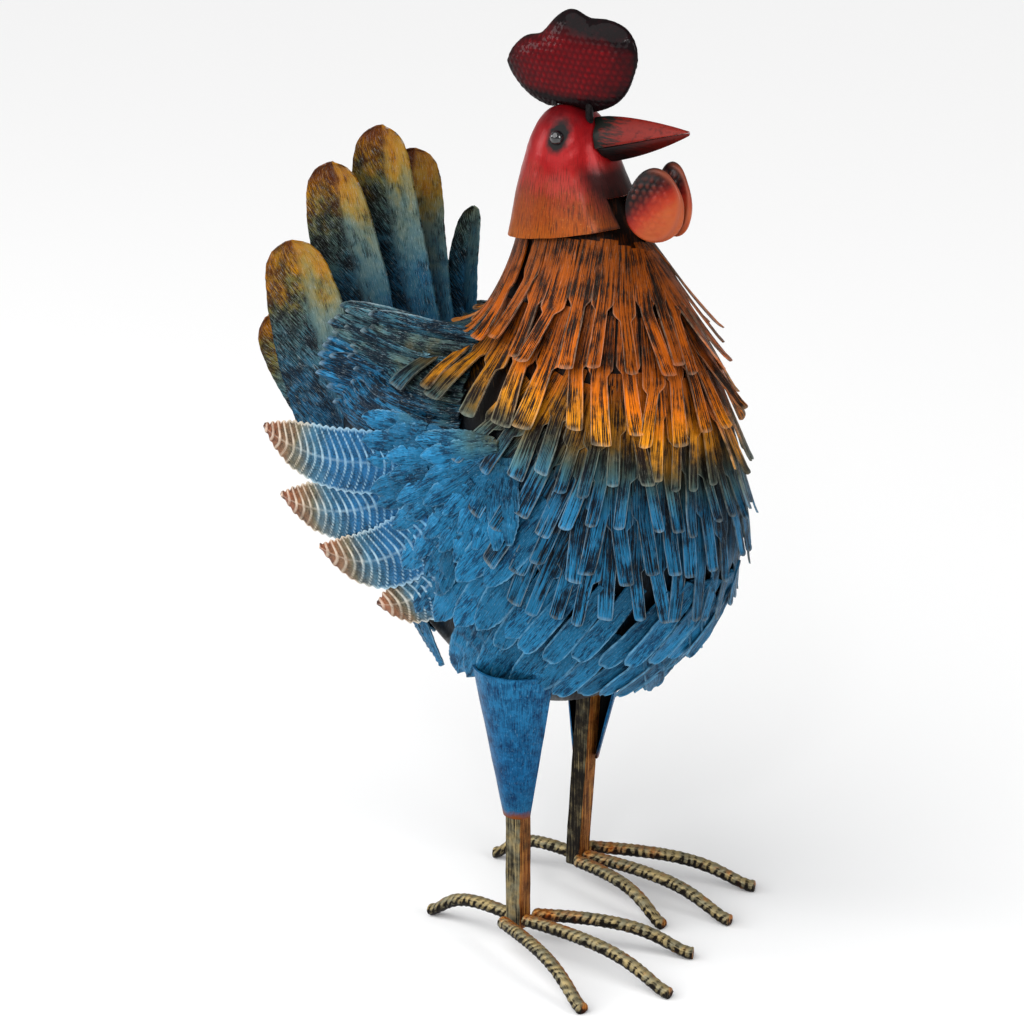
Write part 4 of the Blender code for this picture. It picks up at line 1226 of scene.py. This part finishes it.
def thigh_paint():
    """Swirled blue outside with a rusty foot, and black inside."""
    bright = ((0.0, tone(30, 96, 136)), (0.3, tone(16, 90, 138)), (1.0, tone(34, 108, 152)))
    paint = Paint("thigh_paint")
    streak = paint.blotches(1, paint.grain(0.7, 12), detail=5, rough=0.65)
    patch = paint.blotches(8, detail=5)
    swirl = paint.blotches(5, detail=6, warp=2.5)
    level = paint.sum(paint.times(patch, 0.35), paint.times(swirl, 0.25))
    level = paint.sum(paint.times(streak, 0.4), level)
    blue = paint.ramp(paint.noted("tint"), bright)
    colour = paint.blend(paint.spread(level, 0.42, 0.56), tone(4, 44, 80), blue)
    spark = paint.spread(paint.blotches(1, paint.grain(0.5, 3), detail=6, rough=0.75), 0.57, 0.68)
    colour = paint.blend(paint.times(spark, 0.45), colour, SKY)
    foot = paint.spread(paint.sum(paint.noted("tint"), paint.times(patch, 0.1)), 0.11, 0.05)
    colour = paint.blend(foot, colour, tone(120, 62, 24))
    colour = paint.blend(paint.noted("inner"), colour, COAL)
    normal = paint.bump(level, 0.35, 0.7)
    return paint.finish(colour, paint.spread(level, 0.35, 0.65, 0.46, 0.34), 0.35, normal)


def build_thighs():
    """Sheets rolled to half a cone, hammered a little."""
    finish = thigh_paint()
    for word, leg in (("right", RIGHT_LEG), ("left", LEFT_LEG)):
        thigh = refined(f"thigh_{word}", f"thigh_sheet_{word}", degrees=60, levels=3)
        points = points_of(thigh)
        own = own_measures(points)
        normals = normals_of(thigh)
        away = points[:, :2] - np.array(leg)[:2]
        facing = (away * normals[:, :2]).sum(1)
        points += normals * (0.35 * waver(own, 10))[:, None] * MM
        move_points(thigh, points)
        note(thigh, "inner", (facing < 0).astype(float))
        note(thigh, "tint", (own[:, 2] - 80) / 88)
        set_grain(thigh, np.arctan2(away[:, 1], away[:, 0]) * 20 * MM, own[:, 2] * MM)
        deliver(thigh, [f"thigh_{word}"], finish)


# Painted shade: the far leg's faces that don't face forward are painted darker than the near leg's.
LEG_SHADE = -0.01         # more of the black shows where this is lower
FAR_LEG_SHADE = -0.10


def build_shanks():
    """Square tubes with uneven faces."""
    finish = leg_paint("shank_paint", False)
    for word in ("right", "left"):
        shank = refined(f"shank_{word}", f"leg_tube_{word}", degrees=40, strength=0.9, levels=4)
        points = points_of(shank)
        own = own_measures(points)
        normals = normals_of(shank)
        points += normals * (0.3 * waver(own, 9))[:, None] * MM
        move_points(shank, points)
        note(shank, "front", np.clip(normals[:, 0], 0, 1))
        # Painted shade on the far leg's side faces.
        shaded = FAR_LEG_SHADE if word == "left" else LEG_SHADE
        note(shank, "shade", np.where(normals[:, 0] < 0.5, shaded, LEG_SHADE))
        set_grain(shank, (own[:, 0] + own[:, 1]) * MM, own[:, 2] * MM)
        deliver(shank, [f"shank_{word}"], finish)


RIB_PITCH = 4.2           # between the ribs of a toe bar
TOE_GRID = 0.6            # size of a toe's faces


def build_toes():
    """Bent bars with ribs that wind round them, flat where they stand on the floor."""
    finish = leg_paint("toe_paint", True)
    for word, leg in (("right", RIGHT_LEG), ("left", LEFT_LEG)):
        for toe in ("back", "outer", "middle", "inner"):
            node = f"toe_{toe}_{word}"
            bar = refined(node, f"ribbed_{node}", degrees=60, levels=2)
            apply_modifier(bar, "REMESH", mode="VOXEL", voxel_size=TOE_GRID * MM)
            apply_modifier(bar, "SMOOTH", factor=0.5, iterations=3)
            points = points_of(bar)
            low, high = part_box(node)
            far = max(((x, y) for x in (low.x, high.x) for y in (low.y, high.y)),
                      key=lambda corner: math.dist(corner, leg[:2]))
            heading = np.array((far[0] - leg.x, far[1] - leg.y))
            heading /= np.linalg.norm(heading)
            run = (points[:, :2] - np.array(leg)[:2]) @ heading
            run = (run - run.min()) / MM
            off = points - centre_line(points, run, 24)
            side = off[:, :2] @ np.array((-heading[1], heading[0]))
            turn = np.arctan2(off[:, 2], side)
            out = off / np.linalg.norm(off, axis=1)[:, None]
            uneven = 0.5 * waver(own_measures(points), 6, len(toe))
            phase = run / RIB_PITCH + turn / (2 * math.pi) * 2 + uneven
            rib = (0.5 + 0.5 * np.cos(2 * math.pi * phase)) ** 2
            above = np.clip((points[:, 2] / MM) / 1.5, 0, 1)
            points += out * ((0.32 * rib - 0.22) * above)[:, None] * MM
            points[:, 2] = np.maximum(points[:, 2], 0.0)
            move_points(bar, points)
            note(bar, "rib", rib)
            note(bar, "above", 0.5 + 0.5 * out[:, 2])
            near = 0.0 if toe == "back" else 0.45 * np.clip(1 - run / 45, 0, 1)
            note(bar, "front", np.clip(0.3 + 0.4 * out[:, 0] + 0.3 * out[:, 1] + near, 0, 1))
            set_grain(bar, side, run * MM)
            deliver(bar, [node], finish, 60)


# Stage.
CAMERA_AIM = (-38.5, 0, 235)
CAMERA_AWAY = 1.98        # metres from what it aims at


def set_camera():
    """Seen from the right and front, from a little above."""
    yaw = math.radians(37)
    pitch = math.radians(19)
    back = Vector((math.sin(yaw) * math.cos(pitch), -math.cos(yaw) * math.cos(pitch), math.sin(pitch)))
    data = bpy.data.cameras.new("camera")
    data.sensor_width = 36
    data.lens = 126.5625
    camera = bpy.data.objects.new("camera", data)
    bpy.context.scene.collection.objects.link(camera)
    camera.location = place(*CAMERA_AIM) + back * CAMERA_AWAY
    camera.rotation_mode = "QUATERNION"
    camera.rotation_quaternion = (-back).to_track_quat("-Z", "Y")
    bpy.context.scene.camera = camera


def add_light(name, location, target, size, power):
    """A square lamp, or a wide sun if it has no size."""
    data = bpy.data.lights.new(name, "AREA" if size else "SUN")
    data.energy = power
    if size:
        data.size = size
    else:
        data.angle = math.radians(75)
    light = bpy.data.objects.new(name, data)
    bpy.context.scene.collection.objects.link(light)
    light.location = location
    light.rotation_mode = "QUATERNION"
    light.rotation_quaternion = (target - location).to_track_quat("-Z", "Y")


def set_stage():
    """A white floor, and a dim room that the camera sees as white."""
    bpy.ops.mesh.primitive_plane_add(size=12, location=(0, 0, 0))
    floor = bpy.context.object
    floor.name = "floor"
    paint = Paint("pale_floor")
    floor.data.materials.append(paint.finish(tone(252, 252, 252), 0.9, 0.0))
    world = bpy.data.worlds.new("studio")
    world.use_nodes = True
    tree = world.node_tree
    background = tree.nodes["Background"]
    background.inputs["Color"].default_value = (1, 1, 1, 1)
    ray = tree.nodes.new("ShaderNodeLightPath")
    level = tree.nodes.new("ShaderNodeMapRange")
    level.inputs["To Min"].default_value = 0.34
    level.inputs["To Max"].default_value = 1.0
    tree.links.new(ray.outputs["Is Camera Ray"], level.inputs["Value"])
    tree.links.new(level.outputs["Result"], background.inputs["Strength"])
    bpy.context.scene.world = world
    aim = place(0, 0, 260)
    add_light("key", Vector((-0.3, -1.8, 1.9)), aim, 0, 2.7)
    add_light("left_strip", Vector((-1.6, -0.9, 0.9)), aim, 0.6, 8)
    add_light("right_strip", Vector((1.5, -0.1, 0.9)), aim, 0.6, 8)
    add_light("glint", Vector((1.0, -1.9, 1.7)), aim, 0.22, 4)
    bpy.context.scene.view_settings.view_transform = "Standard"


set_camera()
set_stage()
build_fringes()
build_back()
build_belly()
for hand, word in ((-1, "right"), (1, "left")):
    build_saddle(hand, word)
    build_wing(hand, word)
build_tail()
build_head()
build_comb()
build_wattles()
build_beak()
build_eyes()
paint_comb_posts()
build_thighs()
build_shanks()
build_toes()
